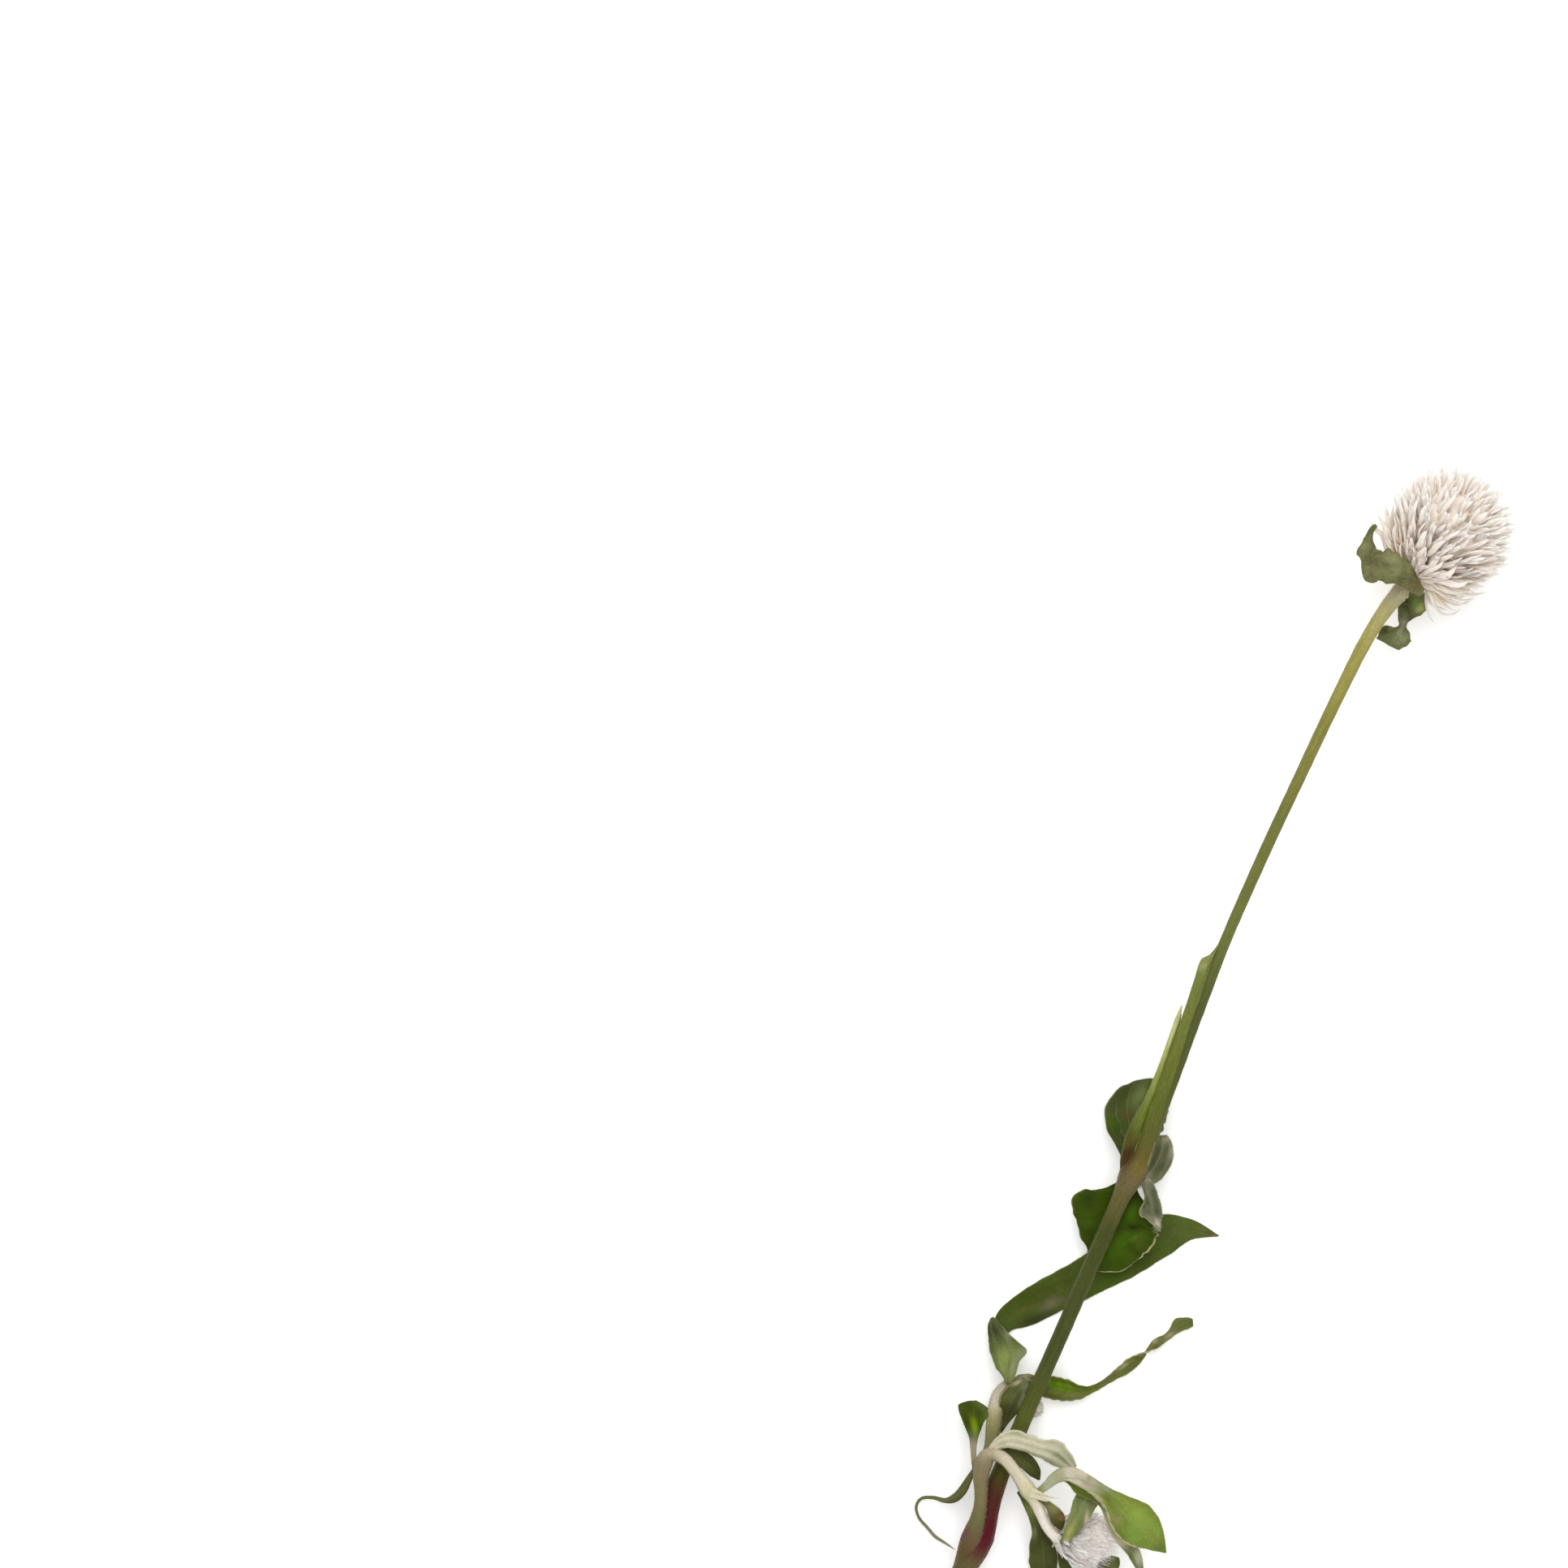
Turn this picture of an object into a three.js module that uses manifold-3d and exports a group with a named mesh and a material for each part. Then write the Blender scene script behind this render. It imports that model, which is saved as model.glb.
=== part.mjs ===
// A globe amaranth stem, cut and laid down on a level surface.
// Millimetres. +Y runs along the stem from its cut end to the flower head, +Z is up from
// the surface, and the origin lies on the surface under the middle of the part.
import * as THREE from 'three';
import { mergeVertices } from 'three/addons/utils/BufferGeometryUtils.js';
import Module from 'manifold-3d';

const wasm = await Module();
wasm.setup();

// Driving dimensions

const LEAF_THICKNESS = 0.62;      // leaf blades, with their felt of hairs
const SEAT_GAP = 0.32;            // between a leaf or stalk root and what carries it
const CUT_END_Y = -171;           // the stem's cut end
const STEM_TOP_Y = 148.5;          // where the stem ends inside the head
const STEM_SIDES = 10;
const STALK_SIDES = 8;

const HEAD = {                    // the large globe at the top of the stem
  centre: [-6.8, 156.4, 14.5], radius: 15.7, core: 11.6, detail: 2, axis: [0.14, 0.99, 0.0],
  fan: 9.6, bracts: 158, lowest: -0.84, width: 2.9, thickness: 1.8, jitter: 1.3,
  // long loose bracts that droop round the neck: root and tip
  loose: [
    [[-7.0, 145.6, 13.0], [-0.9, 136.4, 12.4]], [[-6.2, 146.0, 14.6], [2.3, 140.4, 13.6]],
    [[-5.6, 146.6, 16.4], [3.6, 142.9, 16.2]], [[-5.0, 147.4, 13.6], [5.3, 145.2, 14.2]],
    [[-4.6, 149.0, 15.6], [6.6, 148.2, 14.6]], [[-6.6, 145.8, 16.6], [-1.6, 139.4, 16.4]],
    [[-9.6, 147.6, 12.6], [-14.4, 144.4, 7.6]], [[-6.6, 146.2, 11.2], [-3.6, 142.2, 5.4]],
  ],
};
const HEAD_A = {                  // the small head on the drooping side shoot
  centre: [12, -87, 7.2], radius: 7.55, core: 5.2, detail: 2, axis: [0.94, -0.3, 0.05],
  fan: 4.6, bracts: 50, lowest: -0.7, width: 2.2, thickness: 1.4, jitter: 0.6, loose: [],
};
const BUD_B = {                   // the woolly bud behind the stem
  centre: [-11.3, -64.5, 2.35], radius: 2.5, core: 2.0, detail: 1, axis: [0.95, -0.2, 0],
  fan: 1.2, bracts: 14, lowest: -0.3, width: 1.1, thickness: 0.8, jitter: 0.15, loose: [],
};

// Main stem: x, y, z, half width across, half height. The two swellings are its nodes.
const MAIN_STEM = [
  [-10.6, CUT_END_Y, 2.38, 2.55, 2.5], [-10.4, -150, 3.4, 2.5, 2.5], [-10.5, -130, 4.2, 2.45, 2.4],
  [-10.9, -112, 5.0, 2.5, 2.5], [-11.15, -104, 5.5, 2.75, 2.7], [-11.3, -98.5, 5.9, 3.6, 3.3],
  [-11.5, -94.5, 6.1, 3.4, 3.1], [-12.0, -90, 6.3, 2.75, 2.6], [-12.35, -85, 6.5, 2.3, 2.2],
  [-12.6, -78, 6.7, 2.0, 1.95], [-12.8, -66, 7.1, 1.8, 1.8], [-12.9, -48, 7.7, 1.75, 1.75],
  [-13.1, -30, 8.3, 1.75, 1.75], [-13.2, -15, 8.8, 1.85, 1.85], [-13.15, -10.5, 9.0, 2.2, 2.1],
  [-12.95, -7, 9.1, 2.95, 2.7], [-12.9, -3, 9.3, 2.6, 2.4], [-12.95, 2, 9.4, 2.2, 2.1],
  [-13.3, 10, 9.7, 1.75, 1.75], [-13.7, 20, 10.0, 1.55, 1.6], [-14.3, 30, 10.4, 1.42, 1.5],
  [-14.85, 40, 10.7, 1.33, 1.4], [-15.3, 50, 11.0, 1.27, 1.3], [-15.5, 62, 11.4, 1.27, 1.3],
  [-15.4, 78, 11.8, 1.3, 1.3], [-15.1, 94, 12.2, 1.32, 1.35], [-14.75, 110, 12.7, 1.4, 1.4],
  [-14.25, 123, 13.0, 1.48, 1.5], [-13.5, 130.5, 13.2, 1.55, 1.55], [-12.6, 135.5, 13.4, 1.75, 1.7],
  [-11.6, 139, 13.6, 2.05, 1.95], [-10.7, 141.2, 13.8, 1.9, 1.9], [-8.6, STEM_TOP_Y, 14.3, 1.6, 1.6],
];
// Two torn side shoots that run up the front of the stem, grown together with it.
const STRIP_SHORT = [
  [-14.3, -7.5, 9.6, 1.2, 1.5], [-15.4, -2.5, 9.9, 1.9, 1.7], [-16.0, 3, 10.2, 1.75, 1.5],
  [-16.1, 10, 10.5, 1.2, 1.2], [-16.35, 18, 10.8, 0.98, 1.0], [-17.1, 26, 11.2, 0.85, 0.9],
  [-17.85, 30.8, 11.5, 0.68, 0.7], [-18.35, 33.2, 11.7, 0.26, 0.3],
];
const STRIP_LONG = [
  [-12.7, -6.5, 9.9, 2.0, 1.6], [-13.3, 0, 10.2, 2.2, 1.6], [-13.9, 8, 10.6, 2.05, 1.35],
  [-14.5, 17, 10.9, 1.75, 1.25], [-15.4, 26, 11.3, 1.6, 1.2], [-16.4, 34, 11.6, 1.4, 1.15],
  [-17.1, 40, 11.8, 1.3, 1.1], [-17.45, 43.3, 11.9, 1.25, 1.0], [-17.75, 45.0, 12.0, 0.85, 0.6],
];

// Side shoot A: up the front left of the stem to its own node, then drooping to the right.
const STALK_A = [
  [-12.4, -100.2, 8.3, 1.8, 1.4], [-13.0, -95.5, 9.1, 1.75, 1.4], [-13.8, -90, 9.5, 1.5, 1.3],
  [-15.3, -85.2, 9.7, 1.7, 1.5], [-16.9, -81, 9.8, 2.25, 1.9], [-16.9, -78.2, 10.6, 1.7, 1.6],
  [-15.2, -77.1, 11.6, 1.15, 1.1], [-12, -78.1, 12.2, 1.1, 1.05], [-8.8, -80.2, 11.8, 1.2, 1.1],
  [-5.8, -81.9, 11.0, 1.9, 1.6], [-3.2, -83.4, 10.4, 1.45, 1.3], [-0.6, -85.7, 9.6, 1.05, 1.0],
  [2.2, -88.3, 8.8, 1.05, 1.0], [5.4, -89.4, 8.1, 1.2, 1.1], [8.0, -88.9, 7.6, 1.1, 1.0],
];
// Side shoot B: a short upright stalk from shoot A's node, and the bud's fine stalk.
const STALK_B = [
  [-17.2, -79.2, 9.0, 1.1, 1.0], [-17.7, -75.5, 8.2, 1.4, 1.25], [-18.6, -71, 7.2, 1.55, 1.3],
  [-20.0, -67, 6.2, 1.65, 1.3], [-20.2, -64.0, 5.3, 1.6, 1.3], [-19.2, -61.6, 4.9, 1.6, 1.2],
  [-18.3, -60.0, 4.8, 0.9, 0.7],
];
const BUD_STALK = [
  [-19.2, -62.6, 4.8, 0.55, 0.55], [-16.4, -63.3, 2.4, 0.5, 0.5], [-14.2, -64.0, 2.2, 0.5, 0.5],
  [-12.2, -64.3, 2.4, 0.5, 0.5],
];
// The thread-like dried leaf that curls away from shoot A's node.
const CURLED_LEAF = [
  [-17.4, -80.6, 8.6, 0.6, 0.5], [-18.6, -82.4, 7.7, 1.0, 0.6], [-18.6, -86, 6.2, 1.3, 0.6],
  [-18.7, -89, 4.9, 1.05, 0.55], [-20.6, -91.6, 3.7, 0.7, 0.5], [-24, -92.8, 2.4, 0.6, 0.45],
  [-26.6, -94.2, 1.1, 0.55, 0.45], [-26.6, -96.6, 0.5, 0.5, 0.45], [-24.6, -98.8, 0.7, 0.5, 0.45],
  [-21, -100.3, 1.9, 0.5, 0.45], [-18, -101, 2.6, 0.45, 0.4], [-15.9, -101.1, 3.1, 0.3, 0.3],
];

// Leaves. Each row of a midrib is x, y, z, half width left, half width right, roll, cup:
// roll turns the blade about its midrib (degrees, right edge down), and cup is how far the
// section bends up on each side (degrees). wave is height, waves and phase of the margin.
const LEAVES = {
  head_bract_left: {
    colour: 0x5d6440, wave: [0.35, 2.5, 0.4], seats: ['main_stem'],
    rows: [
      [-9.4, 142.2, 15.8, 1.5, 1.2, 0, -10], [-12, 142.7, 18.4, 2.9, 2.4, 0, -22],
      [-14.8, 143.2, 20.2, 3.3, 3.7, 0, -26], [-17.6, 143.2, 20.0, 3.8, 4.3, 0, -24],
      [-19.8, 143.3, 18.7, 5.1, 4.2, 0, -18], [-21.2, 143.8, 17.4, 2.6, 3.8, 0, -14],
      [-22.6, 145.2, 16.0, 2.3, 5.5, 0, -12], [-24.0, 146.2, 14.6, 1.6, 2.4, 0, -6],
    ],
  },
  head_bract_right: {
    colour: 0x47552f, wave: [0.3, 2, 1.1], seats: ['main_stem'],
    rows: [
      [-9.2, 142.0, 13.2, 1.3, 1.3, 0, 8], [-7.6, 139.6, 12.6, 3.0, 1.8, 8, 14],
      [-7.5, 137.2, 11.6, 2.7, 2.7, 12, 16], [-7.6, 134.9, 10.6, 1.2, 2.4, 4, 8],
      [-7.6, 133.4, 9.9, 1.0, 1.1, -10, 4], [-7.9, 131.4, 8.9, 3.8, 3.1, -12, -12],
      [-8.1, 129.6, 7.9, 3.2, 3.8, -10, -16], [-8.5, 128.3, 7.2, 3.0, 3.2, -6, -12],
      [-8.8, 127.5, 6.8, 1.2, 2.6, 0, -6],
    ],
  },
  upper_leaf_back: {
    colour: 0x5f7443, wave: [0.3, 3, 0.2], seats: ['main_stem'],
    rows: [
      [-14.2, -5, 6.9, 1.2, 1.0, 0, 0], [-16, -1.2, 5.6, 2.8, 2.4, 0, 6],
      [-17.2, 1.8, 5.0, 5.2, 5.0, 0, 10], [-17.6, 4.6, 4.5, 6.9, 6.8, 0, 8],
      [-17.3, 8.2, 3.8, 6.6, 6.6, 0, 2], [-16.5, 11.4, 2.8, 4.9, 5.3, 0, -8],
      [-15.7, 13.8, 1.5, 3.3, 3.7, 0, -16], [-15.3, 15.3, 0.5, 1.3, 1.4, 0, -16],
    ],
  },
  upper_leaf_ear: {
    colour: 0x76805c, wave: [0.2, 2, 0.9], seats: ['main_stem', 'upper_leaf_back'],
    rows: [
      [-11.4, -6.2, 8.2, 0.9, 1.0, 6, 10], [-9.6, -4.6, 8.0, 1.2, 2.4, 10, 16],
      [-8.9, -2.0, 7.7, 2.0, 2.6, 12, 24], [-8.8, 0.8, 7.2, 2.1, 2.4, 10, 26],
      [-9.3, 2.8, 6.6, 2.0, 1.5, 6, 20], [-10.2, 4.3, 6.1, 0.8, 0.7, 0, 8],
    ],
  },
  upper_leaf_front: {
    colour: 0x4f7a22, wave: [0.4, 4, 1.7], seats: ['main_stem', 'upper_leaf_back'],
    rows: [
      [-12.6, -7.8, 6.7, 1.4, 1.4, 0, 0], [-12.6, -10.4, 5.9, 3.6, 3.4, 0, 4],
      [-12.4, -13.6, 5.5, 8.2, 7.4, 0, 8], [-12.6, -16.9, 5.2, 10.3, 10.8, 0, 10],
      [-12.3, -19.8, 4.9, 9.6, 9.6, 0, 8], [-12.0, -22.8, 4.6, 8.1, 7.5, 0, 6],
      [-11.8, -25.4, 4.3, 6.6, 5.6, 0, 4], [-12.3, -27.6, 4.1, 4.0, 3.2, 0, 2],
      [-13.3, -29.6, 4.0, 1.0, 1.0, 0, 0],
    ],
  },
  upper_leaf_flap: {
    colour: 0x7e8a66, wave: [0.25, 2, 0.3], seats: ['main_stem', 'upper_leaf_ear', 'upper_leaf_front'],
    rows: [
      [-11.0, -6.9, 9.3, 1.0, 1.0, 0, 0], [-8.9, -8.0, 9.7, 1.4, 1.4, 0, -10],
      [-6.9, -9.9, 9.5, 2.3, 2.1, 4, -18], [-5.5, -12.0, 9.0, 2.3, 2.9, 6, -20],
      [-4.0, -14.0, 8.4, 1.8, 2.0, 6, -14], [-2.1, -16.0, 7.9, 0.5, 0.5, 4, -6],
    ],
  },
  long_leaf: {
    colour: 0x4d7424, wave: [0.0, 3, 0], seats: ['stalk_b'],
    rows: [
      [-18.6, -61.4, 4.3, 0.9, 0.9, 0, 0], [-21.5, -58.4, 3.0, 1.0, 1.0, 0, 4],
      [-24.4, -55.0, 1.7, 1.3, 1.3, 0, 6], [-25.6, -51.6, 0.7, 1.9, 1.9, 0, 4],
      [-24.9, -48.2, 0.31, 3.0, 3.0, 0, 0], [-21.7, -44.0, 0.31, 4.1, 4.1, 0, 0],
      [-16.3, -37.0, 0.31, 4.4, 4.4, 0, 0], [-11.2, -30.7, 0.31, 4.8, 4.8, 0, 0],
      [-5.2, -22.8, 0.31, 5.1, 5.1, 0, 0], [-0.2, -16.2, 0.31, 4.7, 4.7, 0, 0],
      [4.8, -12.8, 0.31, 2.6, 2.7, 0, 0], [10.4, -11.6, 0.31, 0.3, 0.3, 0, 0],
    ],
  },
  shoot_b_leaf_left: {
    colour: 0x74885a, wave: [0.3, 2, 0.5], seats: ['stalk_b', 'long_leaf'],
    rows: [
      [-18.6, -61.0, 6.0, 0.9, 0.9, 0, 0], [-19.7, -59.2, 6.0, 1.4, 1.3, 0, 8],
      [-20.7, -57.6, 5.9, 1.9, 3.3, 0, 14], [-21.8, -56.4, 5.7, 2.1, 5.0, 0, 14],
      [-23.7, -54.8, 5.2, 2.1, 3.4, 0, 12], [-26.2, -52.5, 4.3, 2.1, 2.4, 0, 10],
      [-28.3, -50.9, 3.6, 0.6, 0.6, 0, 4],
    ],
  },
  shoot_b_leaf_right: {
    colour: 0x62881f, wave: [0.0, 3, 0], seats: ['stalk_b', 'long_leaf'],
    rows: [
      [-18.2, -61.9, 4.2, 0.9, 0.9, 0, 10], [-15.0, -60.5, 3.1, 2.2, 1.6, 4, 24],
      [-11.0, -59.2, 2.6, 3.0, 2.7, 6, 36], [-7.0, -57.6, 2.4, 2.4, 2.3, 8, 44],
      [-3.4, -56.6, 2.3, 1.2, 1.3, 10, 44], [-0.4, -54.6, 2.3, 0.9, 1.0, 14, 40],
      [2.2, -51.4, 2.4, 1.2, 1.2, 24, 30], [4.0, -48.6, 2.5, 1.5, 1.5, 34, 24],
      [5.4, -45.4, 2.6, 1.9, 1.8, 52, 20], [6.5, -42.4, 2.4, 1.2, 1.2, 84, 18],
      [8.1, -40.0, 2.1, 1.2, 1.4, 135, 16], [10.2, -37.2, 1.8, 0.8, 0.8, 172, 10],
      [11.3, -34.8, 1.5, 1.6, 1.5, 182, 6], [13.6, -32.2, 1.1, 0.9, 0.9, 184, 4],
    ],
  },
  shoot_b_leaf_folded: {
    colour: 0x5b6a45, wave: [0.15, 2, 0.4], seats: ['stalk_b', 'stalk_a', 'shoot_b_leaf_right'],
    rows: [
      [-18.0, -61.2, 6.0, 0.8, 0.8, 0, 10], [-17.4, -63.2, 6.3, 1.3, 1.2, 0, 26],
      [-17.2, -66, 5.9, 1.8, 1.5, 0, 34], [-17.0, -69.4, 5.2, 1.9, 1.5, 0, 30],
      [-16.9, -72.8, 4.6, 1.0, 0.9, 0, 18], [-16.9, -74.4, 4.4, 0.4, 0.4, 0, 8],
    ],
  },
  shoot_a_leaf_arch: {
    colour: 0x97a07f, wave: [0.2, 2.5, 0.2], seats: ['stalk_a', 'stalk_b'],
    rows: [
      [-17.0, -77.4, 11.4, 0.7, 0.7, 0, 0], [-15.3, -74.7, 12.3, 1.2, 1.4, 0, -20],
      [-12.2, -72.4, 12.4, 1.7, 1.9, 0, -30], [-8.2, -71.8, 11.4, 1.8, 2.1, 0, -34],
      [-4.2, -71.7, 9.8, 2.3, 2.6, 0, -30], [-0.8, -72.6, 8.0, 1.8, 2.0, 0, -20],
      [1.6, -73.6, 6.8, 0.5, 0.6, 0, -6],
    ],
  },
  shoot_a_leaf_under: {
    colour: 0x3f5522, wave: [0.15, 2, 0], seats: ['stalk_a', 'stalk_b', 'main_stem', 'shoot_a_leaf_arch'],
    rows: [
      [-16.8, -77.6, 9.6, 0.7, 0.7, 0, 0], [-14.6, -76.1, 9.5, 1.3, 1.2, 0, 8],
      [-11.4, -75.8, 9.4, 1.7, 1.8, 0, 12], [-8.2, -76.2, 9.1, 1.9, 1.9, 0, 12],
      [-5.6, -77.5, 8.5, 1.3, 1.5, 0, 8], [-4.0, -78.6, 8.0, 0.4, 0.4, 0, 0],
    ],
  },
  shoot_a_leaf_outer: {
    colour: 0x7a9a3c, wave: [0.25, 2.5, 0.8], seats: ['stalk_a', 'shoot_a_leaf_arch'],
    rows: [
      [-4.6, -81.4, 12.0, 0.8, 0.8, 0, 0], [-2.7, -79.0, 13.2, 0.9, 1.2, 0, 14],
      [-1.0, -76.6, 14.1, 1.3, 1.7, 0, 18], [2.0, -75.4, 14.5, 1.5, 1.5, 0, 10],
      [6.4, -75.3, 14.7, 1.9, 1.9, 0, -6], [11.0, -75.9, 14.5, 2.2, 2.2, 0, -8],
      [15.4, -77.2, 14.0, 3.2, 4.0, 0, -8], [20.0, -78.6, 12.9, 4.9, 4.9, 0, -10],
      [24.6, -80.2, 11.3, 3.6, 3.4, 0, -10], [29.2, -82.0, 9.5, 0.3, 0.3, 0, -4],
    ],
  },
  shoot_a_leaf_strip: {
    colour: 0x6f7f45, wave: [0.1, 2, 0.4], seats: ['stalk_a', 'shoot_a_leaf_outer', 'head_a'],
    rows: [
      [-3.6, -81.2, 10.8, 0.7, 0.7, 0, 0], [-0.6, -77.9, 11.5, 0.9, 0.9, 0, 10],
      [4.0, -76.5, 12.0, 1.0, 1.1, 0, 12], [8.5, -76.9, 12.2, 1.0, 1.1, 0, 12],
      [12.2, -78.5, 12.3, 0.9, 1.0, 0, 12], [15.2, -81.1, 12.2, 0.9, 1.0, 0, 12],
      [18.6, -83.7, 10.8, 1.0, 1.1, 0, 14], [22.2, -85.5, 8.9, 1.5, 1.3, 0, 10],
      [25.2, -88.2, 7.4, 0.5, 0.4, 0, 0],
    ],
  },
  shoot_a_leaf_hanging: {
    colour: 0x46581f, wave: [0.25, 2.5, 0.6], seats: ['stalk_a', 'head_a'],
    rows: [
      [-7.2, -82.6, 9.2, 0.8, 0.7, 0, 0], [-5.0, -84.3, 8.4, 0.8, 0.8, 0, 8],
      [-2.0, -86.8, 7.4, 1.0, 1.0, 0, 14], [0.8, -89.2, 6.3, 1.9, 1.7, 0, 16],
      [3.2, -92.2, 5.0, 3.0, 3.2, 0, 12], [5.2, -96.0, 3.2, 3.2, 3.3, 0, 8],
      [6.6, -100, 1.4, 2.2, 2.2, 0, 4], [7.4, -103.6, 0.4, 0.4, 0.4, 0, 0],
    ],
  },
  shoot_a_leaf_small: {
    colour: 0x515c2c, wave: [0.1, 1.5, 0], seats: ['stalk_a', 'head_a'],
    rows: [
      [-3.0, -82.6, 12.0, 0.5, 0.5, 0, 0], [0.0, -82.9, 12.1, 1.0, 1.0, 0, 16],
      [2.6, -83.7, 11.5, 1.5, 1.6, 0, 18], [4.3, -85.4, 10.6, 1.0, 1.2, 0, 10],
      [4.9, -86.9, 10.0, 0.3, 0.3, 0, 0],
    ],
  },
  shoot_a_leaf_left: {
    colour: 0x3c6212, wave: [0.2, 2, 0.3], seats: ['stalk_a', 'stalk_b', 'curled_leaf'],
    rows: [
      [-18.2, -81.0, 9.0, 0.6, 0.6, 0, 0], [-19.9, -78.2, 8.6, 0.7, 0.7, 0, 10],
      [-21.8, -75.2, 7.8, 1.7, 1.5, 0, 26], [-23.4, -72.9, 6.8, 3.1, 3.1, 0, 34],
      [-25.0, -71.0, 5.8, 3.1, 3.1, 0, 28], [-26.7, -69.6, 5.1, 1.1, 1.1, 0, 10],
    ],
  },
  head_a_bract_upper: {
    colour: 0x76854e, wave: [0.15, 2, 0.7], seats: ['stalk_a', 'head_a', 'shoot_a_leaf_strip', 'shoot_a_leaf_small'],
    rows: [
      [4.8, -89.8, 9.6, 0.8, 0.8, 0, 0], [5.9, -87.3, 13.2, 1.3, 1.4, 0, -14],
      [6.8, -84.4, 15.0, 1.7, 2.0, 0, -22], [7.5, -81.6, 13.6, 2.2, 2.3, 0, -24],
      [8.0, -79.2, 10.6, 2.8, 2.6, 0, -16], [8.3, -77.6, 7.8, 1.4, 2.0, 0, -6],
    ],
  },
  head_a_bract_lower: {
    colour: 0x3a4a28, wave: [0.15, 2, 0.2], seats: ['stalk_a', 'head_a', 'shoot_a_leaf_hanging'],
    rows: [
      [5.6, -90.6, 7.0, 0.8, 0.8, 0, 0], [8.6, -95.4, 5.8, 1.5, 1.6, 10, 16],
      [12.8, -97.2, 5.0, 2.0, 2.2, 14, 22], [17.2, -95.2, 4.8, 2.0, 2.2, 14, 22],
      [20.0, -91.4, 5.2, 1.7, 1.6, 8, 14], [20.8, -88.2, 5.8, 0.5, 0.5, 0, 4],
    ],
  },
};

// Curves and solids

/** Catmull-Rom value of rows of numbers at t from 0 to 1, one span between each two rows. */
function along(rows, t) {
  const span = Math.min(Math.floor(t * (rows.length - 1)), rows.length - 2);
  const u = t * (rows.length - 1) - span;
  const at = (i) => rows[Math.min(Math.max(i, 0), rows.length - 1)];
  const [a, b, c, d] = [at(span - 1), at(span), at(span + 1), at(span + 2)];
  return b.map((_, k) => {
    const before = span === 0 ? 2 * b[k] - c[k] : a[k];
    const after = span === rows.length - 2 ? 2 * c[k] - b[k] : d[k];
    return 0.5 * (2 * b[k] + (c[k] - before) * u
      + (2 * before - 5 * b[k] + 4 * c[k] - after) * u * u
      + (3 * b[k] - before - 3 * c[k] + after) * u * u * u);
  });
}

/** Rows sampled evenly, with a frame each: point, tangent, side (right) and face (up). */
function track(rows, steps) {
  const samples = [];
  for (let i = 0; i <= steps; i += 1) {
    const values = along(rows, i / steps);
    const ahead = along(rows, Math.min(i / steps + 0.01, 1));
    const behind = along(rows, Math.max(i / steps - 0.01, 0));
    const tangent = new THREE.Vector3(ahead[0] - behind[0], ahead[1] - behind[1], ahead[2] - behind[2]).normalize();
    const side = new THREE.Vector3().crossVectors(tangent, new THREE.Vector3(0, 0, 1)).normalize();
    const face = new THREE.Vector3().crossVectors(side, tangent);
    samples.push({ values, point: new THREE.Vector3(...values), tangent, side, face });
  }
  return samples;
}

/** A closed geometry from points and triangles that share them. */
function closedGeometry(points, triangles) {
  const geometry = new THREE.BufferGeometry();
  geometry.setAttribute('position', new THREE.Float32BufferAttribute(points.flatMap((p) => [p.x, p.y, p.z]), 3));
  geometry.setIndex(triangles);
  return geometry;
}

/** A solid for joining and cutting, from a closed three.js geometry. */
function solidOf(geometry) {
  let plain = geometry;
  if (geometry.getAttribute('normal')) {
    plain = geometry.clone();
    plain.deleteAttribute('normal');
    plain.deleteAttribute('uv');
    plain = mergeVertices(plain, 1e-5);
  }
  return new wasm.Manifold(new wasm.Mesh({
    numProp: 3,
    vertProperties: new Float32Array(plain.getAttribute('position').array),
    triVerts: new Uint32Array(plain.index.array),
  }));
}

/** The largest piece of a solid, as a geometry about the given origin. */
function geometryOf(solid, origin) {
  const pieces = solid.decompose().sort((a, b) => b.volume() - a.volume());
  const mesh = pieces[0].getMesh();
  const points = [];
  for (let i = 0; i < mesh.vertProperties.length; i += mesh.numProp) {
    points.push(new THREE.Vector3(mesh.vertProperties[i], mesh.vertProperties[i + 1], mesh.vertProperties[i + 2]).sub(origin));
  }
  return closedGeometry(points, Array.from(mesh.triVerts));
}

/** A rod of oval section along rows of x, y, z, half width, half height. */
function rod(rows, { sides, perSpan = 1, grow = 0, slant = 0 }) {
  const samples = track(rows, (rows.length - 1) * perSpan);
  const points = [];
  samples.forEach(({ values, point, side, face, tangent }, i) => {
    for (let k = 0; k < sides; k += 1) {
      const angle = (2 * Math.PI * k) / sides;
      const p = point.clone()
        .addScaledVector(side, Math.cos(angle) * (values[3] + grow))
        .addScaledVector(face, Math.sin(angle) * (values[4] + grow));
      if (i === 0) p.addScaledVector(tangent, -grow - slant * Math.cos(angle) * values[3]);
      if (i === samples.length - 1) p.addScaledVector(tangent, grow);
      p.z = Math.max(p.z, grow ? -1 : 0);
      points.push(p);
    }
  });
  const last = samples.length - 1;
  const triangles = [];
  for (let i = 0; i < last; i += 1) {
    for (let k = 0; k < sides; k += 1) {
      const a = i * sides + k;
      const b = i * sides + ((k + 1) % sides);
      triangles.push(a, b, a + sides, b, b + sides, a + sides);
    }
  }
  for (let k = 1; k < sides - 1; k += 1) {
    triangles.push(0, k + 1, k, last * sides, last * sides + k, last * sides + k + 1);
  }
  return closedGeometry(points, orient(points, triangles));
}

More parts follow.
